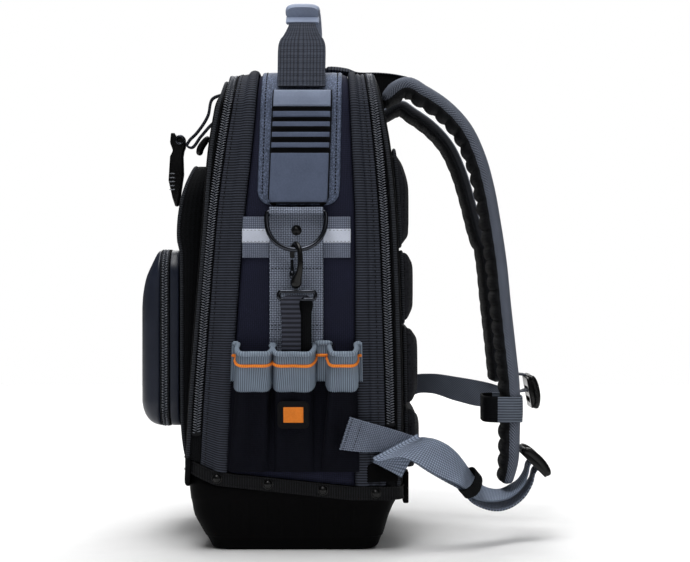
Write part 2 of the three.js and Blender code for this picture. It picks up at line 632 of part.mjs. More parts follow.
/** Pocket and three-piece moulded case on the front. */
function buildFront() {
  const group = new THREE.Group();
  const pocketFront = (shift) => (z) => read(POCKET_FRONT, 'z', 'y', z) + shift;
  const onCover = outline('frontEdge', -GAP);
  const pocket = loft([
    frameLoop(POCKET_FRAME, 10 + CLOTH, pocketFront(CLOTH)),
    frameLoop(POCKET_FRAME, CLOTH, (z) => Math.min(pocketFront(5)(z), onCover(z) - 0.1)),
    frameLoop(POCKET_FRAME, CLOTH, onCover),
    frameLoop(POCKET_FRAME, 0, onCover),
    frameLoop(POCKET_FRAME, 0, (z) => Math.min(pocketFront(4)(z), onCover(z) - 0.2)),
    frameLoop(POCKET_FRAME, 10, pocketFront(0)),
  ]);
  piece(group, 'upper_pocket', pocket, NAVY_CLOTH);

  const at = (y) => () => y;
  const back = loft([
    frameLoop(POD_FRAME, POD_WALL, at(POD_BACK - POD_WALL)),
    frameLoop(POD_FRAME, POD_WALL, at(POD_ZIP_BACK)),
    frameLoop(POD_FRAME, 0, at(POD_ZIP_BACK)),
    frameLoop(POD_FRAME, 0, at(POD_BACK)),
  ]);
  piece(group, 'pod_base', back, MOULDED_FOAM);
  const coil = ring([
    frameLoop(POD_FRAME, POD_WALL, at(POD_ZIP_BACK - GAP)), frameLoop(POD_FRAME, POD_WALL, at(POD_LID_BACK + GAP)),
    frameLoop(POD_FRAME, -1, at(POD_LID_BACK + GAP)), frameLoop(POD_FRAME, -1, at(POD_ZIP_BACK - GAP)),
  ]);
  piece(group, 'pod_zip', coil, BLACK_PLASTIC);
  const dome = [
    { inset: 0, y: POD_LID_BACK },
    { inset: 1.5, y: POD_LID_BACK - 9 },
    { inset: 8, y: POD_FRONT + 3.5 },
    { inset: 22, y: POD_FRONT },
  ];
  const outer = dome.map(({ inset, y }) => frameLoop(POD_FRAME, inset, at(y)));
  const inner = dome.map(({ inset, y }, row) => {
    return frameLoop(POD_FRAME, inset + POD_WALL, at(row === 0 ? y : y + POD_WALL));
  });
  piece(group, 'pod_lid', loft([...inner.reverse(), ...outer]), MOULDED_FOAM);
  return group;
}

/** Foam pads of the back. */
function buildBackPads() {
  const group = new THREE.Group();
  BACK_PADS.forEach(({ low, high, face }, index) => {
    const frame = { halfWidth: PAD_HALF_WIDTH, low, high, lowRadius: 16, highRadius: 16 };
    const seat = outline('backEdge', GAP);
    const pad = loft([
      frameLoop(frame, 0, seat),
      frameLoop(frame, 0, (z) => (seat(z) * 2 + face) / 3),
      frameLoop(frame, 5, (z) => (seat(z) + face * 5) / 6),
      frameLoop(frame, 14, () => face),
    ]);
    piece(group, `back_pad_${index + 1}`, pad, BLACK_CLOTH);
  });
  return group;
}

/** Rubber plates, carrying strap and grip. */
function buildHandle() {
  const group = new THREE.Group();
  const seat = 3 * GAP + PATCH_WALL;
  const { count, top, pitch, width } = PLATE_GROOVES;
  const lowerBends = SIDE_HEIGHTS.filter((z) => z > PLATE.low && z < top - count * pitch);
  const steps = [PLATE.low, ...lowerBends].map((z) => ({ z, lift: PLATE.lift }));
  for (let groove = count - 1; groove >= 0; groove -= 1) {
    const high = top - groove * pitch;
    steps.push({ z: high - width, lift: PLATE.lift }, { z: high - width + 0.4, lift: PLATE.grooveLift });
    steps.push({ z: high - 0.4, lift: PLATE.grooveLift }, { z: high, lift: PLATE.lift });
  }
  const cornerBend = CORNER_HEIGHT + TOP_RADIUS * Math.sin(radians(CORNER_ANGLES[0]));
  steps.push({ z: cornerBend, lift: PLATE.lift }, { z: PLATE.high, lift: PLATE.lift });
  const line = (z, lift) => [PLATE.front, PLATE.back].map((y) => bodyPoint(RIGHT, z, y, lift));
  const plate = wall(steps.map(({ z, lift }) => ({ outer: line(z, seat + lift), inner: line(z, seat) })));
  piece(group, 'handle_plate_right', plate, SLATE_RUBBER);
  piece(group, 'handle_plate_left', mirrored(plate), SLATE_RUBBER);

  const { angle } = sidePoint(PLATE.high);
  const rootPoint = bodyPoint(RIGHT, PLATE.high, 0, seat + PLATE.lift / 2);
  const root = {
    x: rootPoint.x - Math.sin(angle) * 2 * GAP,
    z: rootPoint.z + Math.cos(angle) * 2 * GAP,
    width: HANDLE_STATIONS[0].width,
    thick: HANDLE_STATIONS[0].thick,
  };
  const half = [root, ...HANDLE_STATIONS];
  const stations = [...half, ...half.slice(0, -1).reverse().map((row) => ({ ...row, x: -row.x }))];
  const direction = (i) => {
    const before = stations[Math.max(0, i - 1)];
    const after = stations[Math.min(stations.length - 1, i + 1)];
    const length = Math.hypot(after.x - before.x, after.z - before.z);
    return [-(after.z - before.z) / length, (after.x - before.x) / length];
  };
  const section = (i, halfWidth, halfThick, cut) => {
    const { x, z } = stations[i];
    const [nx, nz] = direction(i);
    const corners = roundRect([-halfWidth, halfWidth], [-halfThick, halfThick], cut, cut, 2);
    return corners.map(([a, n]) => new THREE.Vector3(x + n * nx, HANDLE_MID + a, z + n * nz));
  };
  const strap = stations.map((row, i) => section(i, row.width / 2, row.thick / 2, 0.8));
  piece(group, 'handle_strap', loft(strap), DARK_WEBBING);

  const inGrip = stations.map((row, i) => i).filter((i) => Math.abs(stations[i].x) <= GRIP.halfLength);
  const inside = (i) => section(i, stations[i].width / 2 + GRIP.slack, stations[i].thick / 2 + GRIP.slack, 1);
  const outside = (i) => section(i, GRIP.width / 2, GRIP.thick / 2, 6);
  const sleeve = ring([...inGrip.map(outside), ...inGrip.slice().reverse().map(inside)]);
  piece(group, 'handle_grip', sleeve, SLATE_RUBBER);
  return group;
}

/** Bright strip and webbing of both sides, and the ring on the right one. */
function buildSideWebbing() {
  const group = new THREE.Group();
  const stripLow = BODY_HALF_WIDTH + GAP;
  const webbingLow = stripLow + STRIP.wall + GAP;
  const strip = block([stripLow, STRIP.front, STRIP.low], [stripLow + STRIP.wall, STRIP.back, STRIP.high]);
  const webbingMiddle = webbingLow + SIDE_WEBBING.wall / 2;
  piece(group, 'bright_strip_right', strip, BRIGHT_TAPE);
  piece(group, 'bright_strip_left', mirrored(strip), BRIGHT_TAPE);

  // The right webbing goes up behind the ring's bar and folds forward over it
  const bend = RING_BAR.x - webbingMiddle;
  const fold = Array.from({ length: 8 }, (_, i) => {
    const angle = radians(180 - 30 * i);
    return { x: RING_BAR.x + bend * Math.cos(angle), z: RING_BAR.z + bend * Math.sin(angle) };
  });
  const line = [{ x: webbingMiddle, z: SIDE_WEBBING.low }, ...fold];
  const webbingRows = (points) => points.map(({ x, z }) => ({
    low: [x, SIDE_WEBBING.front, z],
    high: [x, SIDE_WEBBING.back, z],
  }));
  piece(group, 'side_webbing_right', ribbon(webbingRows(line), SIDE_WEBBING.wall), GREY_WEBBING);
  const plain = [{ x: -webbingMiddle, z: SIDE_WEBBING.low }, { x: -webbingMiddle, z: SIDE_WEBBING.high }];
  piece(group, 'side_webbing_left', ribbon(webbingRows(plain), SIDE_WEBBING.wall), GREY_WEBBING);

  const tilt = radians(RING.tilt);
  const normal = new THREE.Vector3(Math.cos(tilt), 0, Math.sin(tilt));
  const inPlane = (y, down) => new THREE.Vector3(
    RING_BAR.x + down * Math.sin(tilt), RING.y + y, RING_BAR.z - down * Math.cos(tilt));
  const bow = Array.from({ length: 21 }, (_, i) => {
    const angle = radians(9 * i);
    const reach = RING.corner + (RING.height - RING.corner) * Math.sin(angle) ** 0.8;
    return inPlane(RING.halfWidth * Math.cos(angle), reach);
  });
  const barEnd = [
    { inward: 0.2, down: 2.4 },
    { inward: 1.1, down: 0.4 },
    { inward: 2.6, down: 0 },
  ];
  const barLeft = barEnd.map(({ inward, down }) => inPlane(inward - RING.halfWidth, down));
  const barRight = barEnd.map(({ inward, down }) => inPlane(RING.halfWidth - inward, down)).reverse();
  const path = [...bow, ...barLeft, ...barRight];
  piece(group, 'd_ring', rod(path, path.map(() => RING.wire), normal, true), GUNMETAL);
  return group;
}

/** Snap hook on the ring, with its lever, its eye and the strap in the pocket. */
function buildHook() {
  const group = new THREE.Group();
  const turn = radians(HOOK_TURN);
  const along = new THREE.Vector3(Math.sin(turn), Math.cos(turn), 0);
  const normal = new THREE.Vector3(Math.cos(turn), -Math.sin(turn), 0);
  const middle = RING_BAR.x + RING.height * Math.sin(radians(RING.tilt));
  const place = ({ a, z }) => new THREE.Vector3(middle, RING.y, z).addScaledVector(along, a);
  piece(group, 'snap_hook', rod(HOOK_PATH.map(place), HOOK_PATH.map(({ r }) => r), normal), BLACK_PLASTIC);
  piece(group, 'hook_gate', rod(GATE_PATH.map(place), GATE_PATH.map(({ r }) => r), normal), GUNMETAL);

  const eyeX = middle;
  const across = [HOOK_EYE.y - HOOK_EYE.halfWidth, HOOK_EYE.y + HOOK_EYE.halfWidth];
  const eye = roundRect(across, [HOOK_EYE.low, HOOK_EYE.high], HOOK_EYE.corner, HOOK_EYE.corner);
  const eyePath = eye.map(([y, z]) => new THREE.Vector3(eyeX, y, z));
  piece(group, 'hook_eye', rod(eyePath, eyePath.map(() => HOOK_EYE.wire), new THREE.Vector3(1, 0, 0), true), GUNMETAL);

  const bend = HOOK_EYE.wire + GAP + WEBBING / 2;
  const frontLeaf = -4.9;
  const rearLeaf = 5;
  const bendPoints = Array.from({ length: 7 }, (_, i) => {
    const angle = radians(30 * i);
    const y = THREE.MathUtils.lerp(frontLeaf, rearLeaf, i / 6);
    return { x: eyeX + bend * Math.cos(angle), y, z: HOOK_EYE.low + bend * Math.sin(angle) };
  });
  const line = [
    { x: eyeX - 1.5, y: frontLeaf, z: 166 },
    { x: eyeX + 1, y: frontLeaf, z: 195 },
    { x: eyeX + bend, y: frontLeaf, z: 225 },
    ...bendPoints,
    { x: eyeX - bend, y: rearLeaf, z: 225 },
    { x: eyeX - bend, y: rearLeaf, z: 195 },
    { x: eyeX - 2 * bend, y: rearLeaf, z: 166 },
  ];
  const rows = line.map(({ x, y, z }) => ({
    low: [x, y - LANYARD_WIDTH / 2, z],
    high: [x, y + LANYARD_WIDTH / 2, z],
  }));
  piece(group, 'lanyard', ribbon(rows, WEBBING), DARK_WEBBING);
  return group;
}

/** Pleated pockets and elastic trims of both sides, and the tag on the right. */
function buildSidePockets() {
  const group = new THREE.Group();
  const seat = BODY_HALF_WIDTH + GAP;
  const share = (z) => (z - POCKET.base) / (POCKET.mouth - POCKET.base);
  const reach = (z, out) => out * THREE.MathUtils.lerp(POCKET.baseReach, POCKET.mouthReach, share(z));
  // Line of the pleats at the heights given, moved off the cloth's inner face
  const pleatLine = (heightOf, lift) => {
    const flat = PLEATS.map(({ mouth, base, out }) => {
      const z = heightOf(out);
      return { x: seat + reach(z, out), y: THREE.MathUtils.lerp(base, mouth, share(z)), z };
    });
    return flat.map(({ x, y, z }, i) => {
      const before = flat[Math.max(0, i - 1)];
      const after = flat[Math.min(flat.length - 1, i + 1)];
      const first = new THREE.Vector2(y - before.y, x - before.x);
      const second = new THREE.Vector2(after.y - y, after.x - x);
      const one = i === 0 ? second.clone().normalize() : first.normalize();
      const two = i === flat.length - 1 ? one.clone() : second.normalize();
      const miter = one.clone().add(two).normalize();
      const stretch = Math.min(1.6, 1 / Math.max(0.4, miter.dot(one)));
      return new THREE.Vector3(x + miter.x * lift * stretch, y - miter.y * lift * stretch, z);
    });
  };
  const sheet = (heights, low, high) => wall(heights.map((heightOf) => ({
    outer: pleatLine(heightOf, high),
    inner: pleatLine(heightOf, low),
  })));
  const level = (z) => () => z;
  const mouth = (out) => POCKET.mouth - POCKET.dip * out;
  const trimLow = (out) => TRIM.low - POCKET.dip * out;
  const trimMiddle = (out) => (trimLow(out) + mouth(out)) / 2;
  const trimRows = [trimLow, trimMiddle, mouth];
  const pockets = sheet([level(POCKET.base), level(POCKET.middle), ...trimRows], 0, POCKET.wall);
  const trimSeat = POCKET.wall + 1.5 * GAP;
  const trim = sheet(trimRows, trimSeat, trimSeat + TRIM.wall);
  for (const [name, geometry, material] of [['side_pockets', pockets, NAVY_CLOTH], ['pocket_trim', trim, ELASTIC]]) {
    piece(group, `${name}_right`, geometry, material);
    piece(group, `${name}_left`, mirrored(geometry), material);
  }
  const tagLine = (z, lift) => [TAG.front, TAG.back].map((y) => {
    return new THREE.Vector3(seat + reach(z, 1) + POCKET.wall + GAP + lift, y, z);
  });
  const tag = wall([TAG.low, TAG.high].map((z) => ({ outer: tagLine(z, TAG.wall), inner: tagLine(z, 0) })));
  piece(group, 'pocket_tag', tag, ORANGE_RUBBER);
  return group;
}

/** Frame of a ladder lock, placed and turned in the side view. */
function ladderLock({ x, y, z, turn }) {
  const outer = roundRect([-LOCK.width / 2, LOCK.width / 2], [-LOCK.length / 2, LOCK.length / 2], 4, 4, 2);
  const shape = new THREE.Shape(outer.map(([u, v]) => new THREE.Vector2(u, v)));
  for (const [from, to] of LOCK.slots) {
    const slot = roundRect([-LOCK.slotWidth / 2, LOCK.slotWidth / 2], [from, to], 1, 1, 1);
    shape.holes.push(new THREE.Path(slot.map(([u, v]) => new THREE.Vector2(u, v))));
  }
  const frame = new THREE.ExtrudeGeometry(shape, { depth: LOCK.thick, bevelEnabled: false });
  frame.translate(0, 0, -LOCK.thick / 2);
  return frame.rotateX(radians(turn)).translate(x, y, z);
}

/** Shoulder pads, load lifters, keepers, locks and lower straps. */
function buildStraps() {
  const group = new THREE.Group();
  const rootY = outline('backEdge')(ROOT_HEIGHT) + 1.2;
  const root = [
    { y: rootY, z: ROOT_HEIGHT, width: 50, thick: 8 },
    { y: rootY + 5, z: ROOT_HEIGHT + 1.5, width: 52, thick: 8 },
  ];
  const line = [...root, ...SHOULDER_LINE];
  const leftEnd = line.findIndex(({ y, z }) => y > rootY + 50 && z < LEFT_PAD_END);
  const sides = [
    { name: 'right', side: RIGHT, stations: line, lock: LOCK_RIGHT },
    { name: 'left', side: LEFT, stations: line.slice(0, leftEnd), lock: LOCK_LEFT },
  ];
  for (const { name, side, stations, lock } of sides) {
    const x = side * PAD_X;
    const pad = loft(stations.map((_, i) => padLoop(stations, i, x)));
    piece(group, `shoulder_pad_${name}`, pad, STRAP_CLOTH);
    const lifter = LIFTER_LINE.map(({ y, z }) => ({
      low: [x - LIFTER_WIDTH / 2, y, z],
      high: [x + LIFTER_WIDTH / 2, y, z],
    }));
    piece(group, `load_lifter_${name}`, ribbon(lifter, WEBBING), DARK_WEBBING);
    piece(group, `ladder_lock_${name}`, ladderLock(lock), BLACK_PLASTIC);
  }
  const keeperLine = [KEEPER.low, KEEPER.high].map((z) => {
    const rows = SHOULDER_LINE.slice(6).map((row) => ({ ...row, down: -row.z }));
    const column = (name) => read(rows, 'down', name, -z);
    return { y: column('y'), z, width: column('width'), thick: column('thick') };
  });
  const keeperLoop = (i, grow) => padLoop(keeperLine, i, PAD_X, grow);
  const thick = KEEPER.slack + KEEPER.wall;
  const keeper = ring([
    keeperLoop(0, KEEPER.slack), keeperLoop(1, KEEPER.slack), keeperLoop(1, thick), keeperLoop(0, thick),
  ]);
  piece(group, 'keeper_right', keeper, ELASTIC);

  piece(group, 'lower_webbing_right', ribbon(STRAP_RIGHT, WEBBING), GREY_WEBBING);
  piece(group, 'webbing_tail_right', ribbon(TAIL_RIGHT, WEBBING), GREY_WEBBING);
  piece(group, 'lower_webbing_left', ribbon(STRAP_LEFT, WEBBING), GREY_WEBBING);
  piece(group, 'lock_tab_left', ribbon(LOCK_TAB_LEFT, WEBBING), DARK_WEBBING);
  const tab = sidePlate(CORNER_TAB, BODY_HALF_WIDTH + GAP, BODY_HALF_WIDTH + GAP + TAB_WALL);
  piece(group, 'corner_tab_right', tab, BLACK_CLOTH);
  const leftTab = sidePlate(CORNER_TAB, -BODY_HALF_WIDTH - GAP - TAB_WALL, -BODY_HALF_WIDTH - GAP);
  piece(group, 'corner_tab_left', leftTab, BLACK_CLOTH);
  piece(group, 'back_tongue', block(
    [TONGUE.x - TONGUE.halfWidth, TONGUE.front, TONGUE.low],
    [TONGUE.x + TONGUE.halfWidth, TONGUE.back, TONGUE.high],
  ), BLACK_CLOTH);
  return group;
}

/** Thin strap and plastic clip that hang at the front. */
function buildTether() {
  const group = new THREE.Group();
  const rows = TETHER_LINE.map(({ y, z }) => ({
    low: [TETHER_X - TETHER_HALF_WIDTH, y, z],
    high: [TETHER_X + TETHER_HALF_WIDTH, y, z],
  }));
  piece(group, 'tether_strap', ribbon(rows, TETHER_THICK), BLACK_CLOTH);
  const clip = sidePlate(CLIP_OUTLINE, TETHER_X - CLIP_HALF_WIDTH, TETHER_X + CLIP_HALF_WIDTH);
  piece(group, 'tether_clip', clip, BLACK_PLASTIC);
  return group;
}

backpack.add(
  buildBase(), buildBody(), buildFront(), buildBackPads(), buildHandle(),
  buildSideWebbing(), buildHook(), buildSidePockets(), buildStraps(), buildTether(),
);

export default backpack;
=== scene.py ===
"""Looks of the tool backpack: cloth, webbing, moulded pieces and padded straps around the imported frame."""

from __future__ import annotations

import bisect
import logging
from dataclasses import dataclass
from enum import Enum
from math import atan, copysign, cos, dist, hypot, pi, radians, sin, sqrt
from typing import Callable, ClassVar, NamedTuple, Sequence, TypeVar

import bmesh
import bpy
from mathutils import Matrix, Vector, noise

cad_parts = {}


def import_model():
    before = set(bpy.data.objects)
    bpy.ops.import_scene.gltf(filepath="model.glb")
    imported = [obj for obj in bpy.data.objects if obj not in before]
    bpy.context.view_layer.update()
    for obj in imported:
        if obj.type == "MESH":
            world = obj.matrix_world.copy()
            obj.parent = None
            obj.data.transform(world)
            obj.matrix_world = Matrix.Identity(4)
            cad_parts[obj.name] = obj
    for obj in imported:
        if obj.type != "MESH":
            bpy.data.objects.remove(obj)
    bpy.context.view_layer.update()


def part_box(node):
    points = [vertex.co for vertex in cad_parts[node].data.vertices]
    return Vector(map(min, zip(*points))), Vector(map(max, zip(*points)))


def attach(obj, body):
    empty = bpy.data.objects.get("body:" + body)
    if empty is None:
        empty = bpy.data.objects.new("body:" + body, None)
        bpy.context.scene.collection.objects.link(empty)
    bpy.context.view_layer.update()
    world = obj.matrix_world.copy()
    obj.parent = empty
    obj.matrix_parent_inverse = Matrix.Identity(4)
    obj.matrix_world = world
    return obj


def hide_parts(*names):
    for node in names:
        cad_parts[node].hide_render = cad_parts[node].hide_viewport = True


LOG = logging.getLogger("backpack")
MM = 0.001
FLAT = "flat"  # UV layer that holds the cloth laid flat, in metres
WAVE_TURN = 2 * pi / 20  # Blender's wave texture turns 20 radians a unit
GAP = 0.3  # clearance between pieces that touch, mm
X_AXIS = Vector((1, 0, 0))
Y_AXIS = Vector((0, 1, 0))
Z_AXIS = Vector((0, 0, 1))

Place = Callable[[float, float], Vector]
Reader = Callable[[float], float]
Shape = bmesh.types.BMesh
Value = TypeVar("Value", float, Vector)


class Side(Enum):
    """Side of the body that a piece is on."""

    RIGHT = 1
    LEFT = -1

    @property
    def label(self) -> str:
        """Word used in the names of the pieces."""
        return self.name.lower()


# Numbers along a table or a line


def linear(colour: str) -> tuple[float, float, float, float]:
    """Linear colour of an sRGB hex."""
    shares = [int(colour[i:i + 2], 16) / 255 for i in (0, 2, 4)]
    red, green, blue = [s / 12.92 if s <= 0.04045 else ((s + 0.055) / 1.055) ** 2.4 for s in shares]
    return red, green, blue, 1.0


def lerp(low: float, high: float, share: float) -> float:
    """Value between two others."""
    return low + (high - low) * share


def ease(low: float, high: float, at: float) -> float:
    """Smooth step from 0 at low to 1 at high."""
    share = min(1.0, max(0.0, (at - low) / (high - low)))
    return share * share * (3 - 2 * share)


def hump(middle: float, half: float, at: float) -> float:
    """Round rise of height 1 about a middle, 0 beyond half on both sides."""
    share = min(1.0, abs(at - middle) / half)
    return sqrt(max(0.0, 1 - share * share))


def crumple(across: float, along: float, size: float, seed: float) -> float:
    """Soft unevenness of cloth, about -1 to 1, with folds of a size in mm. The seed picks a layer of noise."""
    return 2.0 * noise.noise(Vector((across / size, along / size, seed)))


def hermite(start: Value, leave: Value, end: Value, arrive: Value, t: float) -> Value:
    """Value or point on the smooth curve between two, with the slope at both."""
    return (
        start * (2 * t ** 3 - 3 * t ** 2 + 1) + leave * (t ** 3 - 2 * t ** 2 + t)
        + end * (3 * t ** 2 - 2 * t ** 3) + arrive * (t ** 3 - t ** 2)
    )


def smooth_read(rows: Sequence[tuple[float, float]], at: float) -> float:
    """Reads a table of (key, value) rows with a smooth line through them.

    Args:
        rows: Rows sorted by key.
        at: Key to read at.

    Returns:
        The value, held at the table's ends.
    """
    if at <= rows[0][0]:
        return rows[0][1]
    if at >= rows[-1][0]:
        return rows[-1][1]
    index = bisect.bisect_right([key for key, _ in rows], at) - 1

    def slope(i: int) -> float:
        before, after = rows[max(0, i - 1)], rows[min(len(rows) - 1, i + 1)]
        return (after[1] - before[1]) / (after[0] - before[0])

    (low, start), (high, end) = rows[index], rows[index + 1]
    span = high - low
    return hermite(start, span * slope(index), end, span * slope(index + 1), (at - low) / span)


class Line:
    """Smooth line through points, read by the share of its length."""

    def __init__(self, points: Sequence[Vector], closed: bool = False, fine: int = 10) -> None:
        """Draws the line.

        Args:
            points: Points that the line goes through, mm.
            closed: Whether its end joins its start.
            fine: Steps between two points.
        """
        count = len(points)
        self.closed = closed
        self.points: list[Vector] = []

        def point(i: int) -> Vector:
            return points[i % count] if closed else points[min(count - 1, max(0, i))]

        def tangent(i: int) -> Vector:
            before, here, after = point(i - 1), point(i), point(i + 1)
            first, second = (here - before).length, (after - here).length
            if first < 1e-6:
                return (after - here) / max(second, 1e-6)
            if second < 1e-6:
                return (here - before) / first
            return ((here - before) * (second / first) + (after - here) * (first / second)) / (first + second)

        for i in range(count if closed else count - 1):
            start, end = point(i), point(i + 1)
            span = (end - start).length
            leave, arrive = tangent(i) * span, tangent(i + 1) * span
            self.points += [hermite(start, leave, end, arrive, k / fine) for k in range(fine)]
        self.points.append(point(0) if closed else points[-1])
        self.marks = [0.0]
        for before, after in zip(self.points, self.points[1:]):
            self.marks.append(self.marks[-1] + (after - before).length)

    @property
    def length(self) -> float:
        """Length of the line, mm."""
        return self.marks[-1]

    def at(self, share: float) -> Vector:
        """Point at a share of the length."""
        mark = min(1.0, max(0.0, share)) * self.length
        index = min(len(self.points) - 2, max(0, bisect.bisect_right(self.marks, mark) - 1))
        span = self.marks[index + 1] - self.marks[index]
        return self.points[index].lerp(self.points[index + 1], (mark - self.marks[index]) / max(span, 1e-9))

    def heading(self, share: float) -> Vector:
        """Direction of the line at a share of its length."""
        step = 0.5 / max(self.length, 1.0)
        if self.closed:
            return (self.at((share + step) % 1.0) - self.at((share - step) % 1.0)).normalized()
        return (self.at(share + step) - self.at(share - step)).normalized()


# Meshes


def sheet_mesh(columns: int, rows: int, place: Place, flat: tuple[float, float],
               around: bool = False) -> Shape:
    """Grid whose points are put in place, with its flat size as UV.

    Args:
        columns: Cells across.
        rows: Cells along.
        place: Point in mm for shares across and along.
        flat: Width and length of the cloth laid flat, mm.
        around: Whether the last column joins the first.

    Returns:
        The mesh in metres.
    """
    shape = bmesh.new()
    bmesh.ops.create_grid(shape, x_segments=columns, y_segments=rows, size=0.5)
    layer = shape.loops.layers.uv.new(FLAT)
    for face in shape.faces:
        for loop in face.loops:
            loop[layer].uv = ((loop.vert.co.x + 0.5) * flat[0] * MM, (loop.vert.co.y + 0.5) * flat[1] * MM)
    for vert in shape.verts:
        vert.co = place(vert.co.x + 0.5, vert.co.y + 0.5) * MM
    if around:
        bmesh.ops.remove_doubles(shape, verts=shape.verts, dist=0.01 * MM)
        bmesh.ops.recalc_face_normals(shape, faces=shape.faces)
    return shape


class Section(NamedTuple):
    """Cross-section of a swept piece: half sizes and how square its corners are."""

    half_width: float
    half_thick: float
    power: float = 2.0

    def at(self, angle: float) -> tuple[float, float]:
        """Point of the outline at an angle, across and up."""
        wide, high = cos(angle), sin(angle)
        return (self.half_width * copysign(abs(wide) ** (2 / self.power), wide),
                self.half_thick * copysign(abs(high) ** (2 / self.power), high))


def sweep(line: Line, section: Callable[[float], Section], across: Vector, sides: int, pitch: float,
          round_ends: bool = True) -> Shape:
    """Closed form swept along a line.

    Args:
        line: Middle line, mm.
        section: Cross-section at a share of the length.
        across: Direction that the width is near to.
        sides: Points around.
        pitch: Distance between rings, mm.
        round_ends: Whether open ends are rounded off, or else cut flat.

    Returns:
        The mesh, with UV around and along.
    """
    count = max(3, round(line.length / pitch))
    stops = [i / count for i in range(count + 1)]
    caps: dict[float, float] = {}
    if not line.closed:
        start, end = section(0.0), section(1.0)
        cap = 1.0 if round_ends else 0.12
        for share in (0.0, 0.1, 0.3, 0.6):
            shrink = sqrt(1 - (1 - share) ** 2) if round_ends else (0.0 if share == 0.0 else 1.0)
            low = share * cap * min(start.half_thick, start.half_width) / line.length
            high = 1 - share * cap * min(end.half_thick, end.half_width) / line.length
            caps[low] = shrink
            caps[high] = shrink
        limit = cap * start.half_thick / line.length, 1 - cap * end.half_thick / line.length
        stops = sorted(set([s for s in stops if limit[0] <= s <= limit[1]] + list(caps)))
    rings = []
    for share in stops:
        heading = line.heading(share)
        wide = (across - heading * across.dot(heading)).normalized()
        rings.append((line.at(share), wide, wide.cross(heading), section(share), caps.get(share, 1.0)))

    # Points go round at even distances, so that a weave keeps its size on the flat faces
    loop = [section(0.5).at(-2 * pi * i / 720) for i in range(721)]
    marks = [0.0]
    for before, after in zip(loop, loop[1:]):
        marks.append(marks[-1] + dist(before, after))
    angles = [-2 * pi * bisect.bisect_left(marks, marks[-1] * i / sides) / 720 for i in range(sides + 1)]

    def place(u: float, v: float) -> Vector:
        middle, side, lift, form, shrink = rings[round(v * (len(rings) - 1))]
        wide, high = form.at(angles[round(u * sides)])
        return middle + side * (wide * shrink) + lift * (high * shrink)

    return sheet_mesh(sides, len(rings) - 1, place, (marks[-1], line.length), around=True)


def tube(line: Line, radius: float, across: Vector, sides: int = 10, pitch: float = 2.0) -> Shape:
    """Round cord of one thickness along a line."""
    return sweep(line, lambda share: Section(radius, radius), across, sides, pitch)


class Spot(NamedTuple):
    """Place of a small repeated shape, with the directions of its length and height."""

    at: Vector
    along: Vector
    out: Vector


def beads(spots: Sequence[Spot], size: tuple[float, float, float]) -> Shape:
    """Row of small rounded grains, as stitches or zip coils are.

    Args:
        spots: Where each one lies, mm.
        size: Length, width and height of one, mm.
    """
    shape = bmesh.new()
    for spot in spots:
        along = spot.along.normalized()
        wide = spot.out.cross(along).normalized()
        out = along.cross(wide)
        columns = [axis * (half * 0.5 * MM) for axis, half in zip((along, wide, out), size)]
        turn = Matrix([[column[i] for column in columns] + [spot.at[i] * MM] for i in range(3)] + [[0, 0, 0, 1]])
        bmesh.ops.create_icosphere(shape, subdivisions=1, radius=1.0, matrix=turn)
    return shape


def along_line(line: Line, pitch: float, out: Callable[[float], Vector], lift: float = 0.0) -> list[Spot]:
    """Evenly spaced spots along a line, lifted off it."""
    count = max(1, round(line.length / pitch))
    spots = []
    for i in range(count):
        share = (i + 0.5) / count
        away = out(share)
        spots.append(Spot(line.at(share) + away * lift, line.heading(share), away))
    return spots


def ribbon_mesh(low: Line, high: Line, pitch: float, columns: int, bow: float = 0.0) -> Shape:
    """Webbing between two edges.

    Args:
        low: One edge, mm.
        high: The other edge, mm.
        pitch: Distance between rows, mm.
        columns: Cells across.
        bow: Rise of the middle over the edges, mm.
    """
    length = (low.length + high.length) / 2
    width = (high.at(0.5) - low.at(0.5)).length

    def place(u: float, v: float) -> Vector:
        start, end = low.at(v), high.at(v)
        face = (end - start).cross(low.heading(v) + high.heading(v)).normalized()
        return start.lerp(end, u) + face * (bow * (1 - (2 * u - 1) ** 2))

    return sheet_mesh(columns, max(2, round(length / pitch)), place, (width, length))


def cad_copy(node: str, bevel: float) -> Shape:
    """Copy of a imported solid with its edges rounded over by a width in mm."""
    shape = bmesh.new()
    shape.from_mesh(bpy.data.objects[node].data)
    bmesh.ops.remove_doubles(shape, verts=shape.verts, dist=0.01 * MM)
    bmesh.ops.dissolve_limit(shape, angle_limit=radians(2), verts=shape.verts, edges=shape.edges)
    sharp = [edge for edge in shape.edges if edge.is_manifold and edge.calc_face_angle(0.0) > radians(25)]
    bmesh.ops.bevel(shape, geom=sharp, offset=bevel * MM, affect="EDGES", segments=3, profile=0.5, material=-1)
    bmesh.ops.triangulate(shape, faces=[face for face in shape.faces if len(face.verts) > 4])
    return shape


# Finishes


class Pattern(Enum):
    """Relief of a finish."""

    PLAIN_WEAVE = "threads over and under each other"
    TWILL = "threads in slanting lines"
    RIBS_ALONG = "ribs along the piece"
    RIBS_ACROSS = "ribs across the piece"
    GRID = "square cells of woven webbing"
    SPACER = "open holes of spacer mesh"
    GRAIN = "cells of grained leather"
    GRIT = "fine grit of moulded plastic"
    BRUSHED = "long fine scratches"


def add_node(tree: bpy.types.NodeTree, kind: str, inputs: dict | None = None, **settings) -> bpy.types.Node:
    """Adds a node with its settings, values and links.

    Args:
        tree: Node tree of the material.
        kind: Type of the node.
        inputs: Value or linked socket for each input, by name or number.
        **settings: Properties of the node.
    """
    node = tree.nodes.new(kind)
    for name, value in settings.items():
        setattr(node, name, value)
    for key, value in (inputs or {}).items():
        if isinstance(value, bpy.types.NodeSocket):
            tree.links.new(value, node.inputs[key])
        else:
            node.inputs[key].default_value = value
    return node


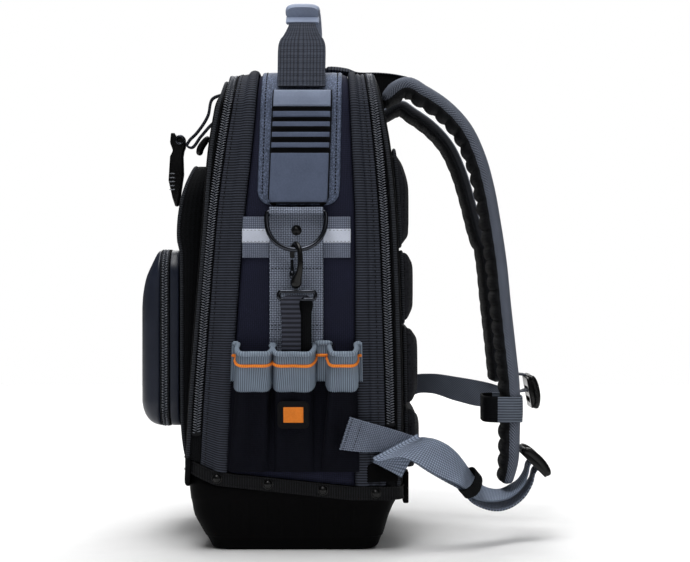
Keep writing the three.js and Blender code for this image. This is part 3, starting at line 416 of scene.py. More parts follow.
@dataclass(frozen=True)
class Finish:
    """Material of a piece: two tones, a relief, a sheen and slight unevenness."""

    name: str
    colour: str  # tone of the raised threads or skin
    # shade is the tone of the relief's hollows: painted shade in weaves and ribs that also draws the pattern,
    # and a darker random tone for grit
    shade: str  # tone in the hollows of the relief
    pattern: Pattern
    pitch: float  # size of one rib, thread or cell, mm
    depth: float  # height of the relief, mm
    roughness: float
    slot: str  # name of a material slot
    metallic: float = 0.0
    sheen: float = 0.0
    coat: float = 0.0
    specular: float = 0.12
    uneven: float = 0.14  # share by which the tone wanders
    laid_flat: bool = True  # whether the relief follows the cloth laid flat, or else the object's axes

    def material(self) -> bpy.types.Material:
        """The finish as a node material, made once."""
        found = bpy.data.materials.get(self.name)
        return found if found else self._make()

    def _make(self) -> bpy.types.Material:
        """Builds the nodes of the finish."""
        material = bpy.data.materials.new(self.name)
        material.use_nodes = True
        tree = material.node_tree
        tree.nodes.clear()
        if self.laid_flat:
            where = add_node(tree, "ShaderNodeUVMap", uv_map=FLAT).outputs["UV"]
        else:
            where = add_node(tree, "ShaderNodeTexCoord").outputs["Object"]
        relief = self._relief(tree, where)
        cloud = add_node(tree, "ShaderNodeTexNoise", {"Vector": where, "Scale": 38.0, "Detail": 4.0}).outputs[0]
        # Hollows of the relief take the shade tone, a painted shade that also draws the pattern
        tone = add_node(tree, "ShaderNodeMix", {0: relief, 6: linear(self.shade), 7: linear(self.colour)},
                        data_type="RGBA").outputs[2]
        wander = add_node(tree, "ShaderNodeMapRange", {
            "Value": cloud, "From Min": 0.25, "From Max": 0.75,
            "To Min": 1 - self.uneven, "To Max": 1 + self.uneven}).outputs[0]
        colour = add_node(tree, "ShaderNodeVectorMath", {0: tone, "Scale": wander}, operation="SCALE").outputs[0]
        rough = add_node(tree, "ShaderNodeMapRange", {
            "Value": cloud, "From Min": 0.25, "From Max": 0.75,
            "To Min": max(0.05, self.roughness - 0.07), "To Max": min(1.0, self.roughness + 0.07)}).outputs[0]
        bump = add_node(tree, "ShaderNodeBump", {"Height": relief, "Distance": self.depth * MM}).outputs[0]
        shader = add_node(tree, "ShaderNodeBsdfPrincipled", {
            "Base Color": colour, "Roughness": rough, "Normal": bump, "Metallic": self.metallic,
            "Sheen Weight": self.sheen, "Coat Weight": self.coat, "Specular IOR Level": self.specular})
        add_node(tree, "ShaderNodeOutputMaterial", {"Surface": shader.outputs[0]})
        return material

    def _relief(self, tree: bpy.types.NodeTree, where: bpy.types.NodeSocket) -> bpy.types.NodeSocket:
        """Height of the relief, 0 to 1.

        Args:
            tree: Node tree of the material.
            where: Coordinates in metres.
        """
        pitch = self.pitch * MM
        if self.pattern is Pattern.TWILL:
            turned = {"Vector": where, "Rotation": (0, 0, radians(52))}
            where = add_node(tree, "ShaderNodeMapping", turned).outputs[0]
        if self.pattern is Pattern.BRUSHED:
            where = add_node(tree, "ShaderNodeMapping", {"Vector": where, "Scale": (1, 1, 0.06)}).outputs[0]
        bands = {
            axis: add_node(tree, "ShaderNodeTexWave", {"Vector": where, "Scale": WAVE_TURN / pitch},
                           wave_type="BANDS", bands_direction=axis).outputs[1]
            for axis in "XY"
        }
        if self.pattern is Pattern.RIBS_ALONG:
            return bands["X"]
        if self.pattern is Pattern.RIBS_ACROSS:
            return bands["Y"]
        if self.pattern is Pattern.GRID:
            cell = add_node(tree, "ShaderNodeMath", {0: bands["X"], 1: bands["Y"]},
                            operation="MULTIPLY").outputs[0]
            return add_node(tree, "ShaderNodeMapRange", {"Value": cell, "From Max": 0.4}).outputs[0]
        if self.pattern is Pattern.TWILL:
            fine = add_node(tree, "ShaderNodeMapRange", {"Value": bands["Y"], "To Min": 0.55}).outputs[0]
            return add_node(tree, "ShaderNodeMath", {0: bands["X"], 1: fine}, operation="MULTIPLY").outputs[0]
        if self.pattern is Pattern.PLAIN_WEAVE:
            over = add_node(tree, "ShaderNodeTexChecker", {"Vector": where, "Scale": 1 / pitch}).outputs[1]
            return add_node(tree, "ShaderNodeMix", {0: over, 2: bands["X"], 3: bands["Y"]}).outputs[0]
        if self.pattern is Pattern.SPACER:
            spaced = {"Vector": where, "Scale": 1 / pitch, "Randomness": 0.35}
            cells = add_node(tree, "ShaderNodeTexVoronoi", spaced)
            return add_node(tree, "ShaderNodeMapRange", {"Value": cells.outputs[0], "From Max": 0.5}).outputs[0]
        if self.pattern is Pattern.GRAIN:
            cells = add_node(tree, "ShaderNodeTexVoronoi", {"Vector": where, "Scale": 1 / pitch},
                             feature="DISTANCE_TO_EDGE")
            return add_node(tree, "ShaderNodeMapRange", {"Value": cells.outputs[0], "From Max": 0.22}).outputs[0]
        grit = {"Vector": where, "Scale": 1 / pitch, "Detail": 3.0}
        return add_node(tree, "ShaderNodeTexNoise", grit).outputs[0]


# Heavy nylon of the side panel and pockets: matte, with a weave drawn coarser than real so that it reads
NAVY_NYLON = Finish("navy_woven_nylon", "24263a", "161824", Pattern.PLAIN_WEAVE, 1.9, 0.12, 0.82,
                    "navy_cloth")
# Pocket cloth: the same navy nylon, painted nearly black all over as painted shade of the pleats that turn from
# the light
SHADED_POCKET_NYLON = Finish("navy_nylon_painted_shade", "14151e", "0b0c12", Pattern.PLAIN_WEAVE, 1.9, 0.12, 0.85,
                      "navy_cloth",
                      specular=0.06)
# Ribbed cloth of the gussets: cross ribs that catch the light in fine lines
BLACK_RIB_CLOTH = Finish("black_ribbed_nylon", "3f434e", "14151a", Pattern.RIBS_ACROSS, 2.5, 0.18, 0.7,
                         "black_cloth")
# Plain black cloth of covers, tabs and tapes
BLACK_NYLON = Finish("black_woven_nylon", "131417", "090a0b", Pattern.PLAIN_WEAVE, 1.9, 0.12, 0.8,
                     "black_cloth",
                     specular=0.06)
# Grosgrain band above the base: upright ribs
BLACK_GROSGRAIN = Finish("black_grosgrain_tape", "191a1d", "09090a", Pattern.RIBS_ALONG, 2.4, 0.2, 0.7,
                         "black_cloth")
# Binding tape along edges: a little lighter, finely ribbed across
BINDING_TAPE = Finish("black_binding_tape", "34373d", "17181b", Pattern.RIBS_ACROSS, 2.2, 0.25, 0.75,
                      "black_cloth")
# Open spacer mesh of the pads: dark holes in a dull knit
SPACER_MESH = Finish("black_spacer_mesh", "24252a", "08080a", Pattern.SPACER, 3.2, 0.7, 0.85, "black_cloth",
                     laid_flat=False)
STRAP_MESH = Finish("strap_spacer_mesh", "1c1d20", "050506", Pattern.SPACER, 3.0, 0.7, 0.85, "strap_cloth")
# Twill cover and binding of the shoulder straps: slanting grey threads
STRAP_TWILL = Finish("grey_twill_cover", "7f8695", "3e424c", Pattern.TWILL, 2.4, 0.25, 0.8, "strap_cloth")
SMOOTH_STRAP = Finish("dark_strap_cloth", "2c2e33", "1b1c20", Pattern.TWILL, 2.4, 0.15, 0.65, "strap_cloth")
# Webbing: small cells or slanting lines of the weave, drawn about twice as coarse as real so that they read
GREY_WEBBING = Finish("grey_nylon_webbing", "98a1b4", "3b404a", Pattern.PLAIN_WEAVE, 2.2, 0.35, 0.75,
                      "grey_webbing")
PALE_WEBBING = Finish("pale_nylon_webbing", "a0acc2", "626c7c", Pattern.GRID, 2.2, 0.3, 0.75, "grey_webbing")
# Free end of the right lower strap: the same webbing painted darker as painted shade
SHADED_TAIL_WEBBING = Finish("tail_webbing_painted_shade", "929cb0", "3f4550", Pattern.PLAIN_WEAVE, 1.9, 0.35, 0.75,
                       "grey_webbing")
# Far lower strap: the same webbing as the right one painted darker as painted shade
SHADED_FAR_WEBBING = Finish("smooth_nylon_webbing", "737a88", "535965", Pattern.TWILL, 1.8, 0.15, 0.65,
                        "grey_webbing")
DARK_WEBBING = Finish("dark_nylon_webbing", "464b58", "2a2d35", Pattern.GRID, 1.8, 0.35, 0.75, "dark_webbing")
DARK_RIB_WEBBING = Finish("dark_ribbed_webbing", "444753", "202127", Pattern.RIBS_ACROSS, 4.4, 0.4, 0.75,
                          "dark_webbing")
# Silver tape: smooth glass-bead face between woven edges
SILVER_TAPE = Finish("silver_bead_tape", "dee4f4", "c4cad8", Pattern.GRIT, 0.9, 0.03, 0.42, "bright_tape")
STRIP_WEBBING = Finish("grey_strip_webbing", "858da0", "4f5563", Pattern.GRID, 1.8, 0.3, 0.75, "bright_tape")
# Elastic trim and keeper: upright ribs with dark hollows
RIB_ELASTIC = Finish("grey_rib_elastic", "8d9bab", "5c6673", Pattern.RIBS_ALONG, 2.2, 0.3, 0.85, "elastic")
ROLLED_ELASTIC = Finish("grey_rolled_elastic", "94a1b1", "6f7b89", Pattern.RIBS_ACROSS, 2.2, 0.3, 0.85,
                        "elastic")
KEEPER_ELASTIC = Finish("grey_keeper_elastic", "6f7784", "3f444d", Pattern.RIBS_ACROSS, 2.6, 0.4, 0.85,
                        "elastic")
# Moulded plastics: deep black satin with a fine grit
BLACK_MOULDING = Finish("black_moulded_plastic", "070708", "040405", Pattern.GRIT, 1.1, 0.06, 0.55,
                        "black_plastic",
                        laid_flat=False, specular=0.04)
GLOSS_PLASTIC = Finish("black_gloss_plastic", "060607", "040405", Pattern.GRIT, 2.0, 0.02, 0.28,
                       "black_plastic",
                       laid_flat=False, specular=0.3)
# Ribs of the black clip, painted pale grey as painted highlight where the light catches them
CLIP_RIB_HIGHLIGHT = Finish("clip_rib_painted_highlight", "8d9098", "6c7077", Pattern.GRIT, 2.0, 0.02, 0.35, "black_plastic",
                  laid_flat=False)
# Zip coils: black plastic painted mid grey as painted highlight on the teeth
LIT_ZIP_COIL = Finish("black_zip_coil_painted_highlight", "696d77", "41454d", Pattern.GRIT, 1.5, 0.03, 0.3, "black_plastic",
                  laid_flat=False,
                  specular=0.5)
# Moulded laminated foam: dark blue grey with a soft sheen
MOULDED_FOAM = Finish("moulded_foam_shell", "1e2434", "161b28", Pattern.GRIT, 1.4, 0.05, 0.38, "moulded_foam",
                      laid_flat=False, specular=0.35)
# Grained patch below the handle: leathery cells with darker creases
GRAINED_PATCH = Finish("slate_grained_patch", "68738c", "434b5c", Pattern.GRAIN, 2.4, 0.12, 0.6,
                       "grained_patch")
# Rubber of plates and grip: matte slate with a fine grit
SLATE_RUBBER = Finish("slate_moulded_rubber", "5f6980", "4e576b", Pattern.GRIT, 1.6, 0.05, 0.62,
                      "slate_rubber",
                      laid_flat=False)
# The same slate rubber painted lighter as painted highlight, for the up-facing upper block of the plates and for
# the grip
LIT_SLATE_RUBBER = Finish("pale_slate_rubber", "8993a9", "778298", Pattern.GRIT, 1.6, 0.05, 0.55, "slate_rubber",
                     laid_flat=False)
# Black rubber of the grooves and of the tag's frame, also used round the plates' rims as painted shadow
BLACK_RUBBER_AND_SHADOW = Finish("black_rubber_and_painted_shadow", "101114", "0a0a0c", Pattern.GRIT, 1.6, 0.05, 0.7,
                       "slate_rubber",
                       laid_flat=False)
ORANGE_RUBBER = Finish("orange_moulded_rubber", "fb9238", "ea7d26", Pattern.GRIT, 1.6, 0.05, 0.55,
                       "orange_rubber",
                       laid_flat=False)
ORANGE_PIPING = Finish("orange_piping_cord", "ff9a45", "f27f28", Pattern.RIBS_ACROSS, 1.8, 0.15, 0.65,
                       "orange_rubber")
# Plated steel: dark, with long fine scratches
GUNMETAL = Finish("gunmetal_plated_steel", "44474e", "34363c", Pattern.BRUSHED, 0.8, 0.02, 0.2, "gunmetal",
                  metallic=1.0,
                  laid_flat=False, uneven=0.08)
# Sewing thread: waxed polyester, dark or pale
DARK_THREAD = Finish("dark_sewing_thread", "1a1b1f", "101013", Pattern.GRIT, 0.8, 0.03, 0.6, "black_cloth",
                     laid_flat=False)
PALE_THREAD = Finish("grey_sewing_thread", "9aa0aa", "747a84", Pattern.GRIT, 0.8, 0.03, 0.6, "grey_webbing",
                     laid_flat=False)


def dress(name: str, shape: Shape, finishes: Sequence[Finish] | Finish, wall: float = 0.0,
          offset: float = -1.0, sharp: float = 50.0, rounding: float = 0.0,
          body: str = "pack") -> bpy.types.Object:
    """Makes a piece of a mesh and ties it to the frame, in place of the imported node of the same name, if any.

    Args:
        name: Name of the piece.
        shape: Its mesh, which is used up.
        finishes: Finish of each material number.
        wall: Thickness given to a sheet, mm.
        offset: Side of the sheet that gets the wall, -1 for behind its faces.
        sharp: Angle over which an edge stays sharp, degrees.
        rounding: Width of rounded edges, mm.
        body: Moving body that carries the piece.

    Returns:
        The finished object.
    """
    finishes = [finishes] if isinstance(finishes, Finish) else list(finishes)
    mesh = bpy.data.meshes.new(name)
    shape.to_mesh(mesh)
    shape.free()
    mesh.polygons.foreach_set("use_smooth", [True] * len(mesh.polygons))
    mesh.set_sharp_from_angle(angle=radians(sharp))
    for finish in finishes:
        mesh.materials.append(finish.material())
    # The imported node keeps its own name, so the piece takes a suffix
    piece = bpy.data.objects.new(f"{name}_look", mesh)
    bpy.context.scene.collection.objects.link(piece)
    if wall:
        solid = piece.modifiers.new("wall", "SOLIDIFY")
        solid.thickness = wall * MM
        solid.offset = offset
        solid.use_quality_normals = True
    if rounding:
        bevel = piece.modifiers.new("rounding", "BEVEL")
        bevel.width = rounding * MM
        bevel.segments = 2
        bevel.angle_limit = radians(40)
    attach(piece, body)
    if name in bpy.data.objects:
        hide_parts(name)
    LOG.info("%s: %d faces", piece.name, len(mesh.polygons))
    return piece


# Body


class OutlineRow(NamedTuple):
    """Depths of the body's edges, zips and seams at one height, mm."""

    z: float
    front_edge: float
    front_zip: float
    front_seam: float
    back_seam: float
    back_zip: float
    back_edge: float


SIDE_OUTLINE = (
    OutlineRow(60, -108, -97, -66, 55, 90, 101),
    OutlineRow(164, -103, -92, -61, 55, 88, 101),
    OutlineRow(316, -91, -81, -50, 55, 83, 96),
    OutlineRow(383, -86, -73, -43, 52, 78, 90),
    OutlineRow(430, -79, -66, -39, 50, 73, 82),
    OutlineRow(460, -74, -62, -37, 48, 69, 77),
)


def outline(column: str, shift: float = 0.0) -> Reader:
    """Reader of one depth of the body by height."""
    rows = [(row.z, getattr(row, column)) for row in SIDE_OUTLINE]
    return lambda z: smooth_read(rows, z) + shift


class ArchPoint(NamedTuple):
    """Point of the body's arch in the front view, with the direction that it faces."""

    x: float
    z: float
    angle: float


class BodyForm:
    """Skin of the soft body: sides that lean in, round top corners and a nearly flat top."""

    HALF_WIDTH = 150.0
    SHOULDER = 141.0
    LEAN_START = 300.0
    TOP = 460.0
    CORNER = 42.0
    BOTTOM = 63.3
    BAND_TURN = 52.0
    BAND_SLOPE = 0.1075
    FRONT_RISE = 11.0  # how far the band sweeps up towards the front corner
    RISE_SPAN = (72.0, 112.0)
    FRONT_SAG = 13.0  # how far the top is rounded down at the front
    BACK_SAG = 5.0
    FRONT_FALL = (50.0, 24.0)  # depth where it starts to round down, and over what length
    BACK_FALL = (62.0, 15.0)
    FALL_SPAN = (420.0, 458.0)  # heights between which the rounding sets in
    CROWN = 1.2  # rise of the top towards its middle
    SETTLE = 200.0  # height above which the rows no longer follow the band's slope

    def __init__(self) -> None:
        """Draws the arch from the right lower end over the top to the left one."""
        corner_height = self.TOP - self.CORNER
        heights = [lerp(self.BOTTOM, corner_height, i / 90) for i in range(91)]
        right = [ArchPoint(*self._lean(z)) for z in heights]
        low = right[-1].angle
        for i in range(1, 19):
            angle = lerp(low, pi / 2, i / 18)
            right.append(ArchPoint(
                self.SHOULDER - self.CORNER * (1 - cos(angle)),
                corner_height + self.CORNER * sin(angle), angle))
        inner = right[-1].x
        for i in range(1, 31):
            height = self.TOP + self.CROWN * ease(0, 30, i)
            right.append(ArchPoint(inner * (1 - i / 30), height, pi / 2))
        left = [ArchPoint(-p.x, p.z, pi - p.angle) for p in reversed(right[:-1])]
        self.points = right + left
        self.marks = [0.0]
        for before, after in zip(self.points, self.points[1:]):
            self.marks.append(self.marks[-1] + hypot(after.x - before.x, after.z - before.z))

    def _lean(self, z: float) -> tuple[float, float, float]:
        """Straight part of the right side at a height."""
        drop = self.HALF_WIDTH - self.SHOULDER
        span = self.TOP - self.CORNER - self.LEAN_START
        lean = max(0.0, (z - self.LEAN_START) / span)
        return self.HALF_WIDTH - drop * lean ** 2, z, atan(2 * drop * lean / span)

    @property
    def length(self) -> float:
        """Length over the arch, mm."""
        return self.marks[-1]

    def at(self, share: float) -> ArchPoint:
        """Point of the arch at a share of its length."""
        mark = min(1.0, max(0.0, share)) * self.length
        index = min(len(self.points) - 2, max(0, bisect.bisect_right(self.marks, mark) - 1))
        t = (mark - self.marks[index]) / (self.marks[index + 1] - self.marks[index])
        low, high = self.points[index], self.points[index + 1]
        return ArchPoint(*(lerp(a, b, t) for a, b in zip(low, high)))

    def share_of(self, z: float) -> float:
        """Share of the arch where its right side has a height."""
        heights = [p.z for p in self.points[:len(self.points) // 2]]
        index = min(len(heights) - 1, max(1, bisect.bisect_left(heights, z)))
        t = (z - heights[index - 1]) / (heights[index] - heights[index - 1])
        return lerp(self.marks[index - 1], self.marks[index], min(1.0, max(0.0, t))) / self.length

    def band_top(self, y: float) -> float:
        """Height of the band's upper edge at a depth."""
        slope = self.BAND_SLOPE * max(0.0, self.BAND_TURN - y)
        return self.BOTTOM - GAP + slope + self.FRONT_RISE * ease(*self.RISE_SPAN, -y)

    def sag(self, y: float, z: float) -> float:
        """How far the top edge is rounded down towards the front and the back."""
        front, back = (
            min(1.0, max(0.0, (depth - start) / run))
            for depth, (start, run) in ((-y, self.FRONT_FALL), (y, self.BACK_FALL))
        )
        return (self.FRONT_SAG * front ** 2 + self.BACK_SAG * back ** 2) * ease(*self.FALL_SPAN, z)

    def over(self, share: float, y: float, lift: float) -> Vector:
        """Point over the arch at a depth, lifted off the skin and resting on the band's slope, mm."""
        x, z, angle = self.at(share)
        drop = max(0.0, 1 - (z - self.BOTTOM) / (self.SETTLE - self.BOTTOM))
        z += (self.band_top(y) + GAP - self.BOTTOM) * drop - self.sag(y, z)
        return Vector((x + lift * cos(angle), y, z + lift * sin(angle)))

    def side(self, side: Side, z: float, y: float, lift: float) -> Vector:
        """Point of one side of the body at a height, lifted off the skin."""
        curved = z > self.TOP - self.CORNER
        x, height, angle = self.at(self.share_of(z)) if curved else self._lean(z)
        return Vector((side.value * (x + lift * cos(angle)), y, height + lift * sin(angle)))

    def out(self, share: float) -> Vector:
        """Direction that the skin faces at a share of the arch."""
        angle = self.at(share).angle
        return Vector((cos(angle), 0, sin(angle)))

    def line(self, depth: Reader, lift: float, low: float = 0.0, high: float = 1.0, count: int = 120) -> Line:
        """Line over a stretch of the arch, lifted off the skin, at a depth that follows the height."""
        shares = [lerp(low, high, i / count) for i in range(count + 1)]
        return Line([self.over(s, depth(self.at(s).z), lift) for s in shares], fine=3)

    def sheet(self, front: Reader, back: Reader, lift: Callable[[float, float, float], float], columns: int,
              pitch: float) -> Shape:
        """Cloth over the whole arch between two depths.

        Args:
            front: Depth of its front edge by height.
            back: Depth of its back edge by height.
            lift: Height off the skin for the share across, the length along and the depth.
            columns: Cells across.
            pitch: Distance between rows, mm.
        """

        def place(u: float, v: float) -> Vector:
            z = self.at(v).z
            y = lerp(front(z), back(z), u)
            return self.over(v, y, lift(u, v * self.length, y))

        width = back(self.SETTLE) - front(self.SETTLE)
        return sheet_mesh(columns, round(self.length / pitch), place, (width, self.length))


FORM = BodyForm()


@dataclass
class Base:
    """Moulded tray, riveted band and rivets."""

    radius: float = 18.0
    band_height: float = 13.0
    band_wall: float = 2.0
    band_half: float = 149.5
    band_front: float = -105.5
    band_back: float = 99.3
    tray_rows: tuple = (
        # height, half width, front, back; a height below zero marks the underside, drawn in to its middle
        (-3, 0, 0, 0), (-2, 60, -40, 36), (-1, 120, -70, 62),
        (0, 129, -79, 71), (0.6, 131.2, -81.4, 73.8), (2, 132.8, -82.8, 76.2), (4.5, 134, -84, 78),
        (12.5, 136.6, -88, 81), (13.4, 137.6, -89, 82), (34, 143, -99.6, 88), (40, 144.2, -100.6, 90.6),
        (46, 145.6, -101.4, 93), (50, 147.4, -102.4, 96), (54, 148.6, -103.4, 98.2), (62, 149.2, -104.6, 99),
    )
    ribs: tuple = (-66.0, -47.5, -30.4, -15.2, 3.8, 20.0, 37.0, 54.0)
    front_ribs: tuple = (-110.0, -82.0, -55.0, -27.0, 0.0, 27.0, 55.0, 82.0, 110.0)
    rib_low: float = 14.0
    rib_high: float = 50.0
    rib_half: float = 2.2
    rib_run: float = 3.0  # length over which a rib dies out
    rib_rise: float = 0.9
    tray_top: float = 62.0
    rivet_depths: tuple = (-76.0, -27.5, 24.7, 75.0)
    rivet_profile: tuple = (
        (0, 3.2), (1.2, 3.05), (2.4, 2.6), (3.4, 1.8), (4, 0.9), (4.2, 0.5), (4.9, 0.4), (5, 0),
    )

    def around(self, share: float, half: float, front: float, back: float) -> tuple[Vector, Vector]:
        """Point of a level loop round the base and the direction it faces.

        Args:
            share: Share of the loop, from the middle of the back.
            half: Half width of the loop, 0 for a point.
            front: Depth of its front.
            back: Depth of its back.
        """
        if not half:
            return Vector((0, back, 0)), Y_AXIS
        x, y, face_x, face_y = Frame(half, -back, -front, self.radius, self.radius).around(share, 0.0)
        return Vector((x, -y, 0)), Vector((face_x, -face_y, 0))

    def tray(self) -> Shape:
        """Moulded tray with a step near its foot and upright ribs."""
        columns = [[(row[0], row[number]) for row in self.tray_rows] for number in (1, 2, 3)]
        heights = [-3, -2, -1, 0, 0.3, 0.6, 1.2, 2, 3.2, 4.5, 7, 10, 12, 12.5, 13, 13.4, 14, 15, 16]
        heights += [18 + 5 * i for i in range(7)] + [49, 50, 51, 52, 54, 58, 62]

        def place(u: float, v: float) -> Vector:
            height = heights[round(v * (len(heights) - 1))]
            half, front, back = (smooth_read(column, height) for column in columns)
            point, face = self.around(u, half, front, back)
            ribs = self.ribs if abs(face.x) > 0.9 else self.front_ribs if abs(face.y) > 0.9 else ()
            place_on = point.y if abs(face.x) > 0.9 else point.x
            rise = max([hump(rib, self.rib_half, place_on) for rib in ribs] or [0.0])
            rise *= ease(self.rib_low, self.rib_low + self.rib_run, height)
            rise *= 1 - ease(self.rib_high - self.rib_run, self.rib_high, height)
            # The upper edge follows the band, a little above its lower edge
            brim = max(self.tray_top, FORM.band_top(point.y) - self.band_height + 2.0)
            if height > self.rib_high:
                height = lerp(self.rib_high, brim, (height - self.rib_high) / (self.tray_top - self.rib_high))
            return Vector((point.x, point.y, max(0.0, height))) + face * (self.rib_rise * rise)

        return sheet_mesh(520, len(heights) - 1, place, (900, 110), around=True)

    def band(self) -> Shape:
        """Grosgrain band with a rolled line along both edges."""

        def place(u: float, v: float) -> Vector:
            lift = 0.5 * hump(0.5, 0.62, v) + 0.9 * hump(0.05, 0.07, v) + 0.9 * hump(0.95, 0.07, v)
            point, face = self.around(u, self.band_half, self.band_front, self.band_back)
            height = FORM.band_top(point.y) - self.band_height * (1 - v)
            return Vector((point.x, point.y, height)) + face * (lift + self.band_wall)

        return sheet_mesh(300, 22, place, (1000, self.band_height), around=True)

    def rivet(self, side: Side, y: float) -> Shape:
        """Domed rivet with a thin flange, turned about its own line.

        Args:
            side: Side of the body.
            y: Depth of its middle.
        """
        shape = bmesh.new()
        face = self.band_half + self.band_wall + GAP
        middle = FORM.band_top(y) - self.band_height / 2
        points = [
            shape.verts.new(Vector((side.value * (face + height), y, middle + radius)) * MM)
            for radius, height in self.rivet_profile
        ]
        edges = [shape.edges.new(pair) for pair in zip(points, points[1:])]
        centre = Vector((side.value * face, y, middle)) * MM
        bmesh.ops.spin(shape, geom=points + edges, cent=centre, axis=X_AXIS, angle=2 * pi, steps=24,
                       use_merge=True)
        bmesh.ops.remove_doubles(shape, verts=shape.verts, dist=0.01 * MM)
        bmesh.ops.holes_fill(shape, edges=shape.edges)
        bmesh.ops.recalc_face_normals(shape, faces=shape.faces)
        return shape

    def build(self) -> None:
        """Makes the base's pieces."""
        dress("base_tray", self.tray(), BLACK_MOULDING, wall=3.0, sharp=65)
        dress("base_band", self.band(), BLACK_GROSGRAIN, wall=1.6)
        for side in Side:
            for number, y in enumerate(self.rivet_depths, 1):
                name = f"rivet_{side.label}_{number}"
                dress(name, self.rivet(side, y), GLOSS_PLASTIC)


@dataclass
class Arch:
    """Cloth arch of the body: panel, gussets, zips and covers."""

    cloth: float = 2.2
    zip_half: float = 5.0
    coil_pitch: float = 2.5
    front_zip_end: float = 96.0
    back_zip_end: float = 122.0
    rib: float = 2.5
    rib_height: float = 0.2
    rib_bend: float = 2.2  # how far the ribs bend over the roll

    def panel_lift(self, u: float, along: float, y: float) -> float:
        """Soft skin of the side panel, drawn down at both seams."""
        edge = min(u, 1 - u) * 110
        return -1.6 * (1 - ease(0, 6, edge)) + 0.8 * crumple(y, along, 75, 0.3) * ease(0, 25, edge) - 0.2

    def cross_ribs(self, along: float, roll: float) -> float:
        """Height of the gussets' cross ribs."""
        return self.rib_height * cos(2 * pi * (along + self.rib_bend * roll) / self.rib)

    def front_lift(self, u: float, along: float, y: float) -> float:
        """Front gusset: a stuffed roll by the panel and a flat tape by the zip."""
        roll = hump(0.74, 0.27, u)
        piped = 0.9 * hump(0.07, 0.09, u) + 0.5 * hump(0.42, 0.06, u)
        return 4.2 * roll + piped + self.cross_ribs(along, roll) * ease(0.12, 0.2, u) - 0.4

    def back_lift(self, u: float, along: float, y: float) -> float:
        """Back gusset: a stuffed roll by the panel and two piped lines."""
        roll = hump(0.24, 0.24, u)
        piped = 1.3 * hump(0.62, 0.09, u) + 0.9 * hump(0.92, 0.09, u)
        return 3.0 * roll + piped + self.cross_ribs(along, roll) * (1 - ease(0.5, 0.56, u)) - 0.4

    def coil(self, depth: Reader, low: float) -> Shape:
        """Zip coil: two rows of slanting loops that meet along the middle.

        Args:
            depth: Depth of the zip by height.
            low: Share of the arch where its ends are.
        """
        spots = []
        line = FORM.line(depth, 1.1, low, 1 - low)
        count = round(line.length / self.coil_pitch)
        for i in range(2 * count):
            half = 1 if i % 2 else -1
            share = (i + 0.5) / (2 * count)
            out = FORM.out(lerp(low, 1 - low, share))
            heading = line.heading(share)
            slant = (Y_AXIS * half + heading * 0.34).normalized()
            spots.append(Spot(line.at(share) + Y_AXIS * (1.8 * half), slant, out))
        return beads(spots, (5.2, 1.5, 2.2))

    def zip_stops(self, depth: Reader, low: float) -> Shape:
        """Folded tape ends that close the coil of a zip at a share of the arch from both its ends."""
        spots = []
        for share in (low, 1 - low):
            point = FORM.over(share, depth(FORM.at(share).z), 0.8)
            spots.append(Spot(point, Y_AXIS, FORM.out(share)))
        return beads(spots, (11.0, 6.0, 3.0))

    def zip_tape(self, depth: Reader) -> Shape:
        """Tape under the coil, with a rolled edge on both sides, down to the band."""

        def place(u: float, v: float) -> Vector:
            lift = 0.9 * hump(0.04, 0.1, u) + 0.9 * hump(0.96, 0.1, u) - 0.5
            return FORM.over(v, depth(FORM.at(v).z) + (2 * u - 1) * (self.zip_half - GAP), lift)

        return sheet_mesh(14, round(FORM.length / 5), place, (2 * self.zip_half, FORM.length))

    def cover(self, edge: Reader, rim: Reader, inward: float) -> Shape:
        """Shell that closes the front or the back: a rim beside the zip and a face drawn in to its middle.

        Args:
            edge: Depth of the face by height.
            rim: Depth of the rim by height.
            inward: Direction along Y from the face into the body.
        """
        # Inset of each row and its share of the way from the face to the rim
        rows = [(0, 1), (0, 0.72), (0.3, 0.5), (1.2, 0.3), (2.8, 0.15), (5, 0.06), (7.5, 0.015), (10, 0)]
        steps = 14
        bottom = FORM.BOTTOM
        under = 2 * FORM.HALF_WIDTH
        split = FORM.length / (FORM.length + under)

        def ring(u: float, inset: float) -> Vector:
            if u <= split:
                x, z, angle = FORM.at(u / split)
                x, z = x - inset * cos(angle), z - inset * sin(angle)
            else:
                x, z = lerp(-FORM.HALF_WIDTH, FORM.HALF_WIDTH, (u - split) / (1 - split)), bottom
            limit = FORM.HALF_WIDTH - inset
            return Vector((max(-limit, min(limit, x)), 0, max(z, bottom + inset)))

        def place(u: float, v: float) -> Vector:
            index = round(v * (len(rows) - 1 + steps))
            if index < len(rows):
                inset, depth = rows[index]
                point = ring(u, inset)
                point.y = lerp(edge(point.z), rim(point.z), depth)
                point.z -= FORM.sag(point.y, point.z)
                return point
            share = (index - len(rows) + 1) / steps
            point = ring(u, rows[-1][0])
            spine = Vector((0, 0, max(210.0, min(320.0, point.z))))
            point = point.lerp(spine, share)
            point.y = edge(point.z) + inward * 0.6 * crumple(point.x, point.z, 60, 0.8) * ease(0, 0.2, share)
            point.z -= FORM.sag(point.y, point.z)
            return point

        return sheet_mesh(300, len(rows) - 1 + steps, place, (1300, 190), around=True)

